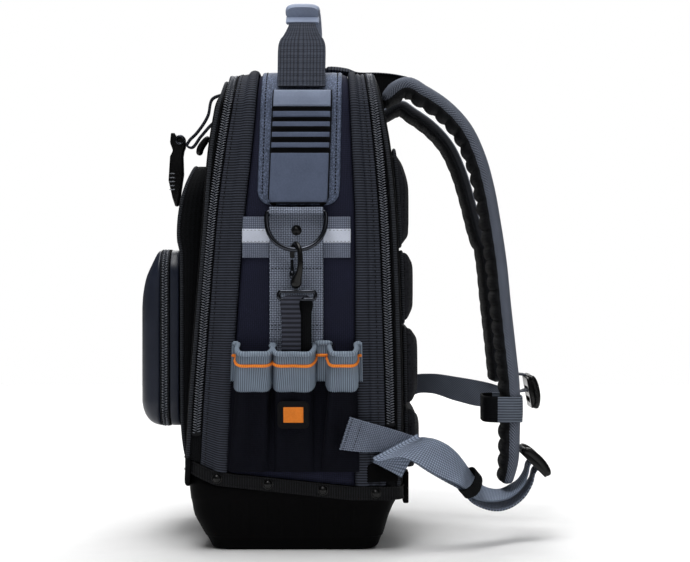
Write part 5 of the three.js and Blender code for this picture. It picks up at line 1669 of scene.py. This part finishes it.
@dataclass
class SidePockets:
    """Pleated pockets with their elastic trim, piping and tag."""

    pleats: tuple = (
        Pleat(-61, -66, 0), Pleat(-54.6, -64.4, 0.03), Pleat(-53, -63.2, 0.6), Pleat(-51, -61.4, 0.96),
        Pleat(-38, -44, 1), Pleat(-28, -30.6, 0.97), Pleat(-25.6, -29, 0.6), Pleat(-24.4, -27.4, 0.15),
        Pleat(-20.8, -20.6, 0.15), Pleat(-19.6, -19.4, 0.6), Pleat(-17.6, -17.8, 0.96), Pleat(-3, -4, 1),
        Pleat(11.4, 12.4, 0.98), Pleat(13.6, 14.4, 0.6), Pleat(15, 16, 0.03), Pleat(18, 17.6, 0),
        Pleat(31.5, 21.5, 0), Pleat(33.6, 22.8, 0.03), Pleat(34.8, 24, 0.6), Pleat(36.6, 25.6, 0.96),
        Pleat(45, 41, 1), Pleat(51, 56, 0.97), Pleat(53.4, 58.2, 0.6), Pleat(55, 60, 0.03), Pleat(61, 63, 0),
    )
    seat: float = 150.5
    mouth: float = 200.0
    dip: float = 9.0
    base: float = 77.0
    mouth_reach: float = 22.0
    base_reach: float = 2.5
    trim_low: float = 163.0
    wall: float = 1.5
    tag: tuple = (-18.0, 12.0, 119.0, 145.0)

    def cross(self, height: Callable[[float], float], lift: float) -> Line:
        """Line across the pleats at heights that follow how far each stands out.

        Args:
            height: Height by how far a pleat stands out.
            lift: Distance off the cloth's inner face.
        """
        points = []
        for pleat in self.pleats:
            z = height(pleat.out)
            share = (z - self.base) / (self.mouth - self.base)
            reach = pleat.out * lerp(self.base_reach, self.mouth_reach, share)
            points.append(Vector((self.seat + reach, lerp(pleat.base, pleat.mouth, share), z)))
        lifted = []
        for i, point in enumerate(points):
            run = points[min(i + 1, len(points) - 1)] - points[max(i - 1, 0)]
            face = Vector((run.y, -run.x, 0)).normalized()
            lifted.append(point + face * lift)
        return Line(lifted, fine=12)

    def cloth(self) -> Shape:
        """Pleated cloth with soft upright folds."""
        rows = 40
        lines = []
        for i in range(rows + 1):
            share = i / rows
            lines.append(self.cross(lambda out, s=share: lerp(self.base, self.mouth - self.dip * out, s), 0.9))

        def place(u: float, v: float) -> Vector:
            point = lines[round(v * rows)].at(u)
            fold = crumple(point.y * 2.6, point.z * 0.55, 30, 5.5) + 0.5 * crumple(point.y, point.z, 26, 6.1)
            point.x += 1.5 * fold * ease(0, 0.15, v) * (1 - 0.7 * ease(0.72, 0.95, v)) * ease(151, 157, point.x)
            return point

        return sheet_mesh(170, rows, place, (lines[-1].length, self.mouth - self.base))

    def trim(self) -> Shape:
        """Elastic band with upright ribs round the mouth."""
        rows = 12
        lines = []
        for i in range(rows + 1):
            share = i / rows
            bulge = 2.6 + 0.6 * hump(0.5, 0.6, share)
            lines.append(self.cross(
                lambda out, s=share: lerp(self.trim_low, self.mouth, s) - self.dip * out, bulge))
        length = lines[-1].length
        ribs = round(length / 2.2)

        def place(u: float, v: float) -> Vector:
            line = lines[round(v * rows)]
            point, heading = line.at(u), line.heading(u)
            face = Vector((heading.y, -heading.x, 0)).normalized()
            sag = 0.5 * cos(2 * pi * ribs * u) * (1 - ease(0, 0.12, v))
            point += face * (0.18 * cos(2 * pi * ribs * u))
            point.z -= sag
            return point

        return sheet_mesh(ribs * 4, rows, place, (length, self.mouth - self.trim_low))

    def build(self) -> None:
        """Makes the pockets of both sides and the tag on the right."""
        for side in Side:
            label = side.label
            lip = self.cross(lambda out: self.mouth - self.dip * out - 1.2, 2.6)
            cord = self.cross(lambda out: self.mouth - self.dip * out - 12.5, 3.6)
            pieces = (
                # The pocket cloth takes the navy nylon painted dark as painted shade
                (f"side_pockets_{label}", self.cloth(), SHADED_POCKET_NYLON, 1.4),
                (f"pocket_trim_{label}", self.trim(), RIB_ELASTIC, 1.0),
                (f"pocket_lip_{label}", tube(lip, 2.5, Z_AXIS, 10, 1.6), ROLLED_ELASTIC, 0.0),
                (f"pocket_piping_{label}", tube(cord, 1.45, Z_AXIS, 8, 1.6), ORANGE_PIPING, 0.0),
            )
            for name, shape, finish, wall in pieces:
                if side is Side.LEFT:
                    bmesh.ops.scale(shape, verts=shape.verts, vec=(-1, 1, 1))
                    bmesh.ops.reverse_faces(shape, faces=shape.faces)
                piece = dress(name, shape, finish, wall=wall)
                if name.startswith("side_pockets"):
                    width = self.cross(lambda out: self.mouth - self.dip * out, 0.9).length
                    low = self.cross(lambda out: self.base, 0.9).length
        self.make_tag()

    def make_tag(self) -> None:
        """Makes the plain rubber tag with a raised rim."""
        front, back, low, high = self.tag
        half, middle_z = (back - front) / 2, (low + high) / 2
        frame = Frame(half, low, high, 5.0, 5.0)

        def reach(z: float) -> float:
            share = (z - self.base) / (self.mouth - self.base)
            return self.seat + lerp(self.base_reach, self.mouth_reach, share) + 2.6

        # Inset and height of each row: a dark frame with a raised lip, then the bright field inside it
        rows = [(0.0, 0.0), (0.0, 1.0), (0.5, 1.7), (1.2, 1.9), (1.9, 1.4), (5.6, 1.2), (6.2, 1.8), (7.2, 2.1)]
        steps = 5

        def place(u: float, v: float) -> Vector:
            index = round(v * (len(rows) - 1 + steps))
            inset, lift = rows[min(index, len(rows) - 1)]
            y, z, _, _ = frame.around(u, inset)
            if index >= len(rows):
                share = (index - len(rows) + 1) / steps
                y, z = lerp(y, 0, share), lerp(z, middle_z, share)
            return Vector((reach(z) + lift, y + (front + back) / 2, z))

        shape = sheet_mesh(96, len(rows) - 1 + steps, place, (90, 18), around=True)
        layer = shape.loops.layers.uv[FLAT]
        field = 18 * MM * 5 / (len(rows) - 1 + steps)
        for face in shape.faces:
            inside = sum(loop[layer].uv.y for loop in face.loops) / len(face.loops) > field
            face.material_index = 1 if inside else 0
        dress("pocket_tag", shape, (BLACK_RUBBER_AND_SHADOW, ORANGE_RUBBER), wall=0.8)


# Straps


@dataclass
class Straps:
    """Shoulder pads, load lifters, keeper, locks and lower straps."""

    pad_x: float = 75.0
    pad_rows: tuple = (
        # depth, height, width and thickness of the pad
        (82.7, 436.5, 50, 14), (87.7, 438.5, 52, 16), (96, 446, 58, 18), (106, 450, 62, 18),
        (122, 442, 66, 18), (144, 427, 68, 18), (162, 407, 70, 18), (175, 380, 70, 18),
        (184, 348, 70, 18), (190, 315, 70, 18), (196, 275, 70, 18), (200, 235, 70, 18),
        (205, 190, 68, 18), (209, 150, 66, 18), (209, 110, 62, 18), (208, 80, 56, 17),
        (204, 58, 44, 13),
    )
    left_rows: int = 14
    far_thin: float = 0.8  # thickness of the far pad against the near one
    far_shift: float = 8.0  # how far the far pad hangs closer to the body
    lifter_rows: tuple = (  # depth and height
        (26, 467.2), (38, 466.6), (50, 464.8), (60, 463.4), (78, 463.2), (96, 461.4), (108, 458.8),
    )
    lifter_half: float = 12.5
    lifter_roll: tuple = (46.0, 58.0)  # depths between which the rolled end opens out flat
    keeper: tuple = (120.0, 145.0)
    keeper_slack: float = 17.0  # how far the keeper's inner half stands off the pad
    keeper_turn: float = 194.0  # depth where its grey elastic meets the black half
    web: tuple = (70.0, 106.0)  # depths between which cloth joins a lifter to its pad
    lobe: float = 15.0
    lock_places: ClassVar[dict] = {
        # place and turn of each lock's middle
        Side.RIGHT: (75.0, 232.2, 78.5, -45.0), Side.LEFT: (-84.0, 246.0, 138.0, -80.0),
    }
    strap_right: tuple = (
        ((151.6, 72.1, 86.7), (151.6, 99.4, 71.6)), ((154.9, 73.4, 88.2), (156.3, 115.5, 110.3)),
        ((158.6, 72.1, 90.6), (159.2, 114.4, 113.1)), ((162.2, 73.4, 88.4), (162.6, 115.5, 110.9)),
        ((167, 98.5, 92.1), (160, 120.9, 110.5)), ((169, 112.6, 87.1), (156, 128.9, 108.9)),
        ((163, 128.5, 77.1), (153, 139, 104.7)), ((156, 143, 69.6), (144, 148, 97.8)),
        ((152, 155.4, 63.7), (130, 159, 84.9)), ((145, 163, 56.5), (119, 167.8, 72.1)),
        ((136, 170.8, 49.6), (108, 176.7, 60.5)), ((126, 181.7, 46), (96, 186.4, 54.5)),
        ((117, 191.9, 44.6), (87, 196.1, 52.2)), ((103, 209.3, 47.8), (73, 209.3, 54.9)),
        ((95, 221.4, 58.5), (63, 220.2, 61)), ((91, 225.8, 69), (59, 225.6, 69.4)),
        ((91, 227.8, 77.2), (59, 227.8, 77.2)), ((91, 230.6, 80.1), (59, 230.6, 80.1)),
        ((91, 233.1, 82.2), (59, 233.1, 82.2)), ((91, 236.6, 79.7), (59, 236.6, 79.7)),
    )
    tail_right: tuple = (
        ((91, 237.1, 79.2), (59, 237.1, 79.2)), ((91, 239.2, 76.1), (59, 239.2, 76.1)),
        ((91, 236.9, 73.8), (59, 236.9, 73.8)), ((91, 233.4, 70.2), (59, 233.4, 70.2)),
        ((92, 230, 59), (60, 231, 62)), ((96, 221.8, 46), (64, 221.6, 52)),
        ((104, 209.2, 37.5), (72, 209.4, 46.5)), ((115, 195, 35), (83, 196.4, 44.5)),
        ((124, 183, 37.5), (93, 186, 47)), ((133, 169, 44.5), (103, 174.5, 55)),
        ((146.6, 153.6, 60.4), (124.5, 157, 81)), ((148, 139.4, 68), (135.8, 144.4, 95.5)),
        ((150, 124, 77), (145.2, 134.2, 105.5)), ((150.6, 105.4, 88.6), (151.7, 117.8, 109)),
        ((151.4, 83.1, 95.4), (153.2, 92.8, 116.9)), ((158, 62, 96.3), (160, 70.6, 123.8)),
        ((166, 40.2, 99.5), (168.5, 50.1, 130.5)),
    )
    strap_left: tuple = (
        ((-151.6, 98, 72), (-151.6, 74, 92)), ((-152.5, 112, 96), (-152.5, 95, 118)),
        ((-146, 124, 130), (-142, 117, 150)), ((-131, 141, 133), (-122, 141, 155)),
        ((-117, 170, 125), (-108, 170, 152)), ((-107, 200, 120), (-97, 200, 147)),
        ((-103, 222, 127), (-76, 222, 141)), ((-100, 236, 137), (-68, 236, 138.6)),
        ((-100, 241.7, 139.5), (-68, 241.7, 139.5)), ((-100, 245.6, 140.2), (-68, 245.6, 140.2)),
        ((-100, 248.9, 140.4), (-68, 248.9, 140.4)), ((-100, 250.3, 136.5), (-68, 250.3, 136.5)),
    )
    lock_tab: tuple = (
        ((-100, 218.7, 160), (-68, 218.7, 160)), ((-100, 230, 157.4), (-68, 230, 157.4)),
        ((-100, 241.5, 156.3), (-68, 241.5, 156.3)),
    )
    lock_half: float = 21.0
    rail: tuple = ((-17.5, 0.5), (-12.0, 3.0), (-3.0, 4.4), (6.0, 4.0), (13.0, 2.0), (17.5, -0.5))
    bars: tuple = (("back", -16.0, 1.6), ("middle", 2.2, 4.6), ("front", 14.5, 2.0))

    def pad_line(self, side: Side) -> Line:
        """Middle line of a pad in the side view."""
        rows = self.pad_rows if side is Side.RIGHT else self.pad_rows[:self.left_rows]
        return Line([Vector((side.value * self.pad_x, y, z)) for y, z, _, _ in rows], fine=8)

    def pad(self, side: Side) -> None:
        """Makes a shoulder pad: a twill cover, a plain edge towards the neck and a lobed mesh face inside.

        Args:
            side: Side of the body.
        """
        rows = self.pad_rows if side is Side.RIGHT else self.pad_rows[:self.left_rows]
        line = self.pad_line(side)
        marks = [line.marks[min(len(line.marks) - 1, 8 * i)] for i in range(len(rows))]
        widths = [(mark, row[2] / 2) for mark, row in zip(marks, rows)]
        thicks = [(mark, row[3] / 2) for mark, row in zip(marks, rows)]
        around = 44
        count = round(line.length / 2.0)
        ends = 5.0

        def place(u: float, v: float) -> Vector:
            along = v * line.length
            point, heading = line.at(v), line.heading(v)
            out = Vector((0, -heading.z, heading.y))
            if out.y < 0 and heading.z < 0:
                out = -out
            half, thick = smooth_read(widths, along), smooth_read(thicks, along)
            if side is Side.LEFT:
                thick *= self.far_thin
                point = point - out * (self.far_shift * hump(0.3, 0.3, v))
            edge = min(along, line.length - along)
            shrink = sqrt(max(0.0, 1 - (1 - min(1.0, edge / ends)) ** 2))
            angle = 2 * pi * u
            wide, high = cos(angle), sin(angle)
            wide = copysign(abs(wide) ** 0.5, wide)
            rise = copysign(abs(high) ** 0.62, high)
            if high < 0:
                lobes = abs(cos(pi * along / self.lobe)) ** 0.7
                rise *= 1 + (0.36 if side is Side.RIGHT else 0.1) * (lobes - 0.6) * ease(0, 0.3, -high)
            groove = 0.06 * hump(-0.12, 0.1, high)
            across = half * wide * (1 - groove) * lerp(0.6, 1, shrink)
            return point + X_AXIS * across + out * (thick * rise * lerp(0.35, 1, shrink))

        girth = 2 * 70 + 2 * 18
        shape = sheet_mesh(around, count, place, (girth, line.length), around=True)
        bmesh.ops.holes_fill(shape, edges=[edge for edge in shape.edges if edge.is_boundary])
        bmesh.ops.recalc_face_normals(shape, faces=shape.faces)
        layer = shape.loops.layers.uv[FLAT]
        for face in shape.faces:
            u = sum(loop[layer].uv.x for loop in face.loops) / len(face.loops) / (girth * MM)
            inner_edge = 0.4 < u < 0.6 if side is Side.RIGHT else not 0.1 < u < 0.9
            face.material_index = 1 if 0.53 < u < 0.97 else 2 if inner_edge else 0
        finishes = (STRAP_TWILL, STRAP_MESH, SMOOTH_STRAP)
        piece = dress(f"shoulder_pad_{side.label}", shape, finishes)

    def ribbon(self, rows: Sequence[tuple], pitch: float = 2.0, columns: int = 16) -> Shape:
        """Webbing through rows of both its edges."""
        low = Line([Vector(start) for start, _ in rows], fine=8)
        high = Line([Vector(end) for _, end in rows], fine=8)
        middle = Line([(Vector(start) + Vector(end)) / 2 for start, end in rows], fine=8)
        shares = [mark / middle.length for mark in middle.marks]
        count = round(middle.length / pitch)
        width = (Vector(rows[0][0]) - Vector(rows[0][1])).length

        def on(line: Line, share: float) -> Vector:
            index = min(len(shares) - 2, max(0, bisect.bisect_right(shares, share) - 1))
            t = (share - shares[index]) / max(1e-9, shares[index + 1] - shares[index])
            return line.points[index].lerp(line.points[index + 1], t)

        return sheet_mesh(columns, count, lambda u, v: on(low, v).lerp(on(high, v), u), (width, middle.length))

    def band_round(self, rows: Sequence[tuple], at: int, half: float, grow: float) -> Line:
        """Closed line round webbing at one of its rows, half off its faces and grown past both its edges."""
        start, end = Vector(rows[at][0]), Vector(rows[at][1])
        across = (end - start).normalized()
        before = (Vector(rows[at - 1][0]) + Vector(rows[at - 1][1])) / 2
        after = (Vector(rows[at + 1][0]) + Vector(rows[at + 1][1])) / 2
        face = (after - before).cross(across).normalized()
        low, high = start - across * grow, end + across * grow
        return Line([low + face * half, high + face * half, high - face * half, low - face * half], closed=True)

    def locks(self) -> None:
        """Makes the ladder locks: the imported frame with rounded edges, and bowed rails and bars on it."""
        for side, (x, y, z, turn) in self.lock_places.items():
            name = f"ladder_lock_{side.label}"
            dress(name, cad_copy(name, 0.9), GLOSS_PLASTIC, sharp=40)
            angle = radians(turn)
            along, out = Vector((0, cos(angle), sin(angle))), Vector((0, -sin(angle), cos(angle)))
            middle = Vector((x, y, z))
            for label, shift in (("outer", 1), ("inner", -1)):
                points = [
                    middle + X_AXIS * (shift * self.lock_half) + along * reach + out * (lift + 1.0)
                    for reach, lift in self.rail
                ]
                rail = sweep(Line(points), lambda share: Section(3.4, 4.0, 3.0), X_AXIS, 14, 1.5)
                dress(f"{name}_{label}_rail", rail, GLOSS_PLASTIC)
            for label, reach, lift in self.bars:
                halves = (-self.lock_half, self.lock_half)
                ends = [middle + X_AXIS * shift + along * reach + out * lift for shift in halves]
                bar = sweep(Line(ends), lambda share: Section(3.0, 2.8, 3.0), along, 14, 3.0)
                dress(f"{name}_{label}_bar", bar, GLOSS_PLASTIC)

    def keeper_band(self) -> None:
        """Makes the elastic keeper round the right pad."""
        low, high = self.keeper
        rows = sorted((z, y, width, thick) for y, z, width, thick in self.pad_rows[8:])

        def place(u: float, v: float) -> Vector:
            z = lerp(low, high, v)
            y, width, thick = (smooth_read([(row[0], row[i]) for row in rows], z) for i in (1, 2, 3))
            angle = 2 * pi * u
            wide, deep = cos(angle), sin(angle)
            wide = copysign(abs(wide) ** 0.5, wide)
            deep = copysign(abs(deep) ** 0.55, deep)
            bulge = 1.8 + 0.6 * hump(0.5, 0.6, v)
            slack = self.keeper_slack if deep < 0 else 0.0
            x = self.pad_x + wide * (width / 2 + bulge)
            return Vector((x, y + deep * (thick / 2 + bulge + slack), z))

        shape = sheet_mesh(80, 16, place, (180, high - low), around=True)
        for face in shape.faces:
            face.material_index = 0 if face.calc_center_median().y > self.keeper_turn * MM else 1
        dress("keeper_right", shape, (KEEPER_ELASTIC, BLACK_NYLON), wall=1.4)

    def lifters(self) -> None:
        """Makes the load lifters of both sides."""
        for side in Side:
            line = Line([Vector((side.value * self.pad_x, y, z)) for y, z in self.lifter_rows], fine=8)

            def section(share: float, run: Line = line) -> Section:
                flat = ease(*self.lifter_roll, run.at(share).y)
                return Section(lerp(8.0, self.lifter_half, flat), lerp(4.2, 0.9, flat), lerp(2.0, 5.0, flat))

            name = f"load_lifter_{side.label}"
            dress(name, sweep(line, section, X_AXIS, 28, 2.0), BLACK_RIB_CLOTH)
            roots = [(y, z + thick / 2 - 3) for y, z, _, thick in self.pad_rows[:4]]

            def web(u: float, v: float, k: Side = side) -> Vector:
                y = lerp(*self.web, u if k is Side.RIGHT else 1 - u)
                z = lerp(smooth_read(roots, y), smooth_read(self.lifter_rows, y), v)
                return Vector((k.value * (self.pad_x + self.lifter_half - 1.5), y, z))

            cloth = sheet_mesh(20, 12, web, (self.web[1] - self.web[0], 20))
            dress(f"{name}_web", cloth, BLACK_NYLON, wall=1.2)

    def lower(self) -> None:
        """Makes the lower straps, the free end and what is sewn on them."""
        straps = (
            ("lower_webbing_right", self.strap_right, PALE_WEBBING),
            # The free end is the same webbing painted darker as painted shade
            ("webbing_tail_right", self.tail_right, SHADED_TAIL_WEBBING),
            # The far strap is the same webbing painted darker as painted shade
            ("lower_webbing_left", self.strap_left, SHADED_FAR_WEBBING),
            ("lock_tab_left", self.lock_tab, DARK_WEBBING),
        )
        for name, rows, finish in straps:
            dress(name, self.ribbon(rows), finish, wall=1.7, offset=0.0, rounding=0.4)
        band = self.band_round(self.strap_right, 9, 2.4, 1.2)
        heading = Vector((-10, 8, -10)).normalized()
        tape = sweep(band, lambda share: Section(7.5, 0.8, 4.0), heading, 24, 1.5)
        dress("strap_keeper_band", tape, BLACK_NYLON)
        end = [Vector(point) for point in self.tail_right[-1]]
        before = [Vector(point) for point in self.tail_right[-2]]
        out = (end[1] - end[0]).cross(before[0] - end[0]).normalized()
        out = out if out.x > 0 else -out
        spots = []
        for inset in (3.0, 13.0):
            row = Line([e + (b - e).normalized() * inset for e, b in zip(end, before)])
            spots += along_line(row, 2.8, lambda s: out, 1.0)
        dress("webbing_tail_stitching", beads(spots, (2.0, 0.9, 0.8)), DARK_THREAD)

    def tabs(self) -> None:
        """Makes the corner tabs and the tongue at the back."""
        for side in Side:
            name = f"corner_tab_{side.label}"
            dress(name, cad_copy(name, 0.5), BLACK_MOULDING, sharp=40)
        dress("back_tongue", cad_copy("back_tongue", 1.2), BLACK_MOULDING, sharp=40)

    def build(self) -> None:
        """Makes the strap pieces."""
        for side in Side:
            self.pad(side)
        self.lifters()
        self.keeper_band()
        self.locks()
        self.lower()
        self.tabs()


@dataclass
class Tether:
    """Thin strap and plastic clip that hang at the front."""

    x: float = 40.0
    half: float = 5.0
    rows: tuple = (
        (-77, 447.5), (-88.5, 443), (-93.5, 425.5), (-105.6, 407.2), (-113, 399.4), (-114.8, 395.3),
        (-111.6, 393.2), (-100.6, 404.6), (-90, 416.5), (-84.5, 421),
    )
    ring: tuple = (-121.0, 400.6, 4.0)  # depth, height and radius
    rib_heights: tuple = (366.6, 362.5, 358.5, 354.4, 350.4)
    pull: tuple = ((-90.0, 402.0), (-94.0, 397.0), (-98.5, 390.0), (-100.0, 383.0))
    pull_x: float = 70.0

    def build(self) -> None:
        """Makes the strap and the clip."""
        edges = [
            Line([Vector((self.x + shift, y, z)) for y, z in self.rows], fine=8)
            for shift in (-self.half, self.half)
        ]
        strap = ribbon_mesh(*edges, 1.6, 8)
        dress("tether_strap", strap, BLACK_RIB_CLOTH, wall=2.2, offset=0.0, rounding=0.4)
        dress("tether_clip", cad_copy("tether_clip", 1.4), GLOSS_PLASTIC, sharp=40)
        low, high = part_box("tether_clip")
        face = high.x / MM
        loop = [
            Vector((face + 0.6, self.ring[0] + self.ring[2] * cos(a), self.ring[1] + self.ring[2] * sin(a)))
            for a in (pi * i / 8 for i in range(16))
        ]
        dress("tether_ring", tube(Line(loop, closed=True, fine=4), 1.2, X_AXIS, 10, 0.8), GUNMETAL)
        front = low.y / MM
        spots = [Spot(Vector((face - 0.4, front + 4.0, z)), Y_AXIS, X_AXIS) for z in self.rib_heights]
        # The clip's ribs are painted pale as painted highlight on black plastic
        dress("tether_clip_ribs", beads(spots, (7.0, 1.5, 2.2)), CLIP_RIB_HIGHLIGHT)
        pull = Line([Vector((self.pull_x, y, z)) for y, z in self.pull], fine=6)
        tab = sweep(pull, lambda share: Section(5.0, 2.2 + 1.4 * hump(0.6, 0.5, share), 2.6), X_AXIS, 16, 1.2)
        dress("zip_pull", tab, GLOSS_PLASTIC)


# Studio


@dataclass
class Studio:
    """Pale floor, soft lights and the camera of the photograph's view."""

    camera_at: tuple = (1.750, 0.0456, 0.258)
    lens: float = 87.9
    floor_half: float = 2.4
    lights: tuple = (
        # name, place, target, size across and up, power in watts
        ("key", (1.3, -0.4, 2.5), (0.05, 0.0, 0.28), 1.0, 1.0, 26.0),
        ("fill", (1.8, 1.0, 1.6), (0.05, 0.05, 0.25), 1.0, 1.0, 4.0),
        ("top", (0.1, 0.0, 2.3), (0.0, 0.0, 0.3), 1.4, 1.4, 30.0),
        ("back", (-2.4, 0.2, 1.9), (-0.6, 0.0, 0.0), 2.4, 2.4, 70.0),
    )

    def build(self) -> None:
        """Sets the stage."""
        scene = bpy.context.scene
        scene.view_settings.view_transform = "Standard"
        floor_finish = Finish("pale_studio_floor", "f6f6f6", "f1f1f1", Pattern.GRIT, 40.0, 0.0, 0.9, "",
                              laid_flat=False, uneven=0.01, specular=0.1)
        shape = bmesh.new()
        bmesh.ops.create_grid(shape, x_segments=8, y_segments=8, size=self.floor_half)
        mesh = bpy.data.meshes.new("floor")
        shape.to_mesh(mesh)
        shape.free()
        mesh.materials.append(floor_finish.material())
        floor = bpy.data.objects.new("floor", mesh)
        scene.collection.objects.link(floor)
        world = bpy.data.worlds.new("studio")
        world.use_nodes = True
        background = world.node_tree.nodes["Background"]
        background.inputs["Color"].default_value = (1, 1, 1, 1)
        # The backdrop shows white, and lights the pack less than it shows
        seen = add_node(world.node_tree, "ShaderNodeLightPath").outputs["Is Camera Ray"]
        dimmed = {"Value": seen, "To Min": 0.08, "To Max": 1.0}
        strength = add_node(world.node_tree, "ShaderNodeMapRange", dimmed)
        world.node_tree.links.new(strength.outputs[0], background.inputs["Strength"])
        scene.world = world
        for name, place, target, width, height, power in self.lights:
            data = bpy.data.lights.new(name, "AREA")
            data.shape = "RECTANGLE"
            data.size, data.size_y, data.energy = width, height, power
            lamp = bpy.data.objects.new(name, data)
            lamp.location = place
            lamp.rotation_euler = (Vector(target) - Vector(place)).to_track_quat("-Z", "Y").to_euler()
            scene.collection.objects.link(lamp)
        data = bpy.data.cameras.new("camera")
        data.lens = self.lens
        data.sensor_width = 36.0
        data.sensor_fit = "HORIZONTAL"
        camera = bpy.data.objects.new("camera", data)
        camera.location = self.camera_at
        camera.rotation_euler = (pi / 2, 0, pi / 2)
        scene.collection.objects.link(camera)
        scene.camera = camera


def main() -> None:
    """Builds the backpack and its stage."""
    logging.basicConfig(level=logging.INFO, format="%(message)s")
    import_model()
    assemblies = (
        Base(), Arch(), Patch(), FrontCase(), BackPads(), Handle(), SideFittings(), SidePockets(), Straps(),
        Tether(), Studio(),
    )
    for assembly in assemblies:
        assembly.build()


if __name__ == "__main__":
    main()
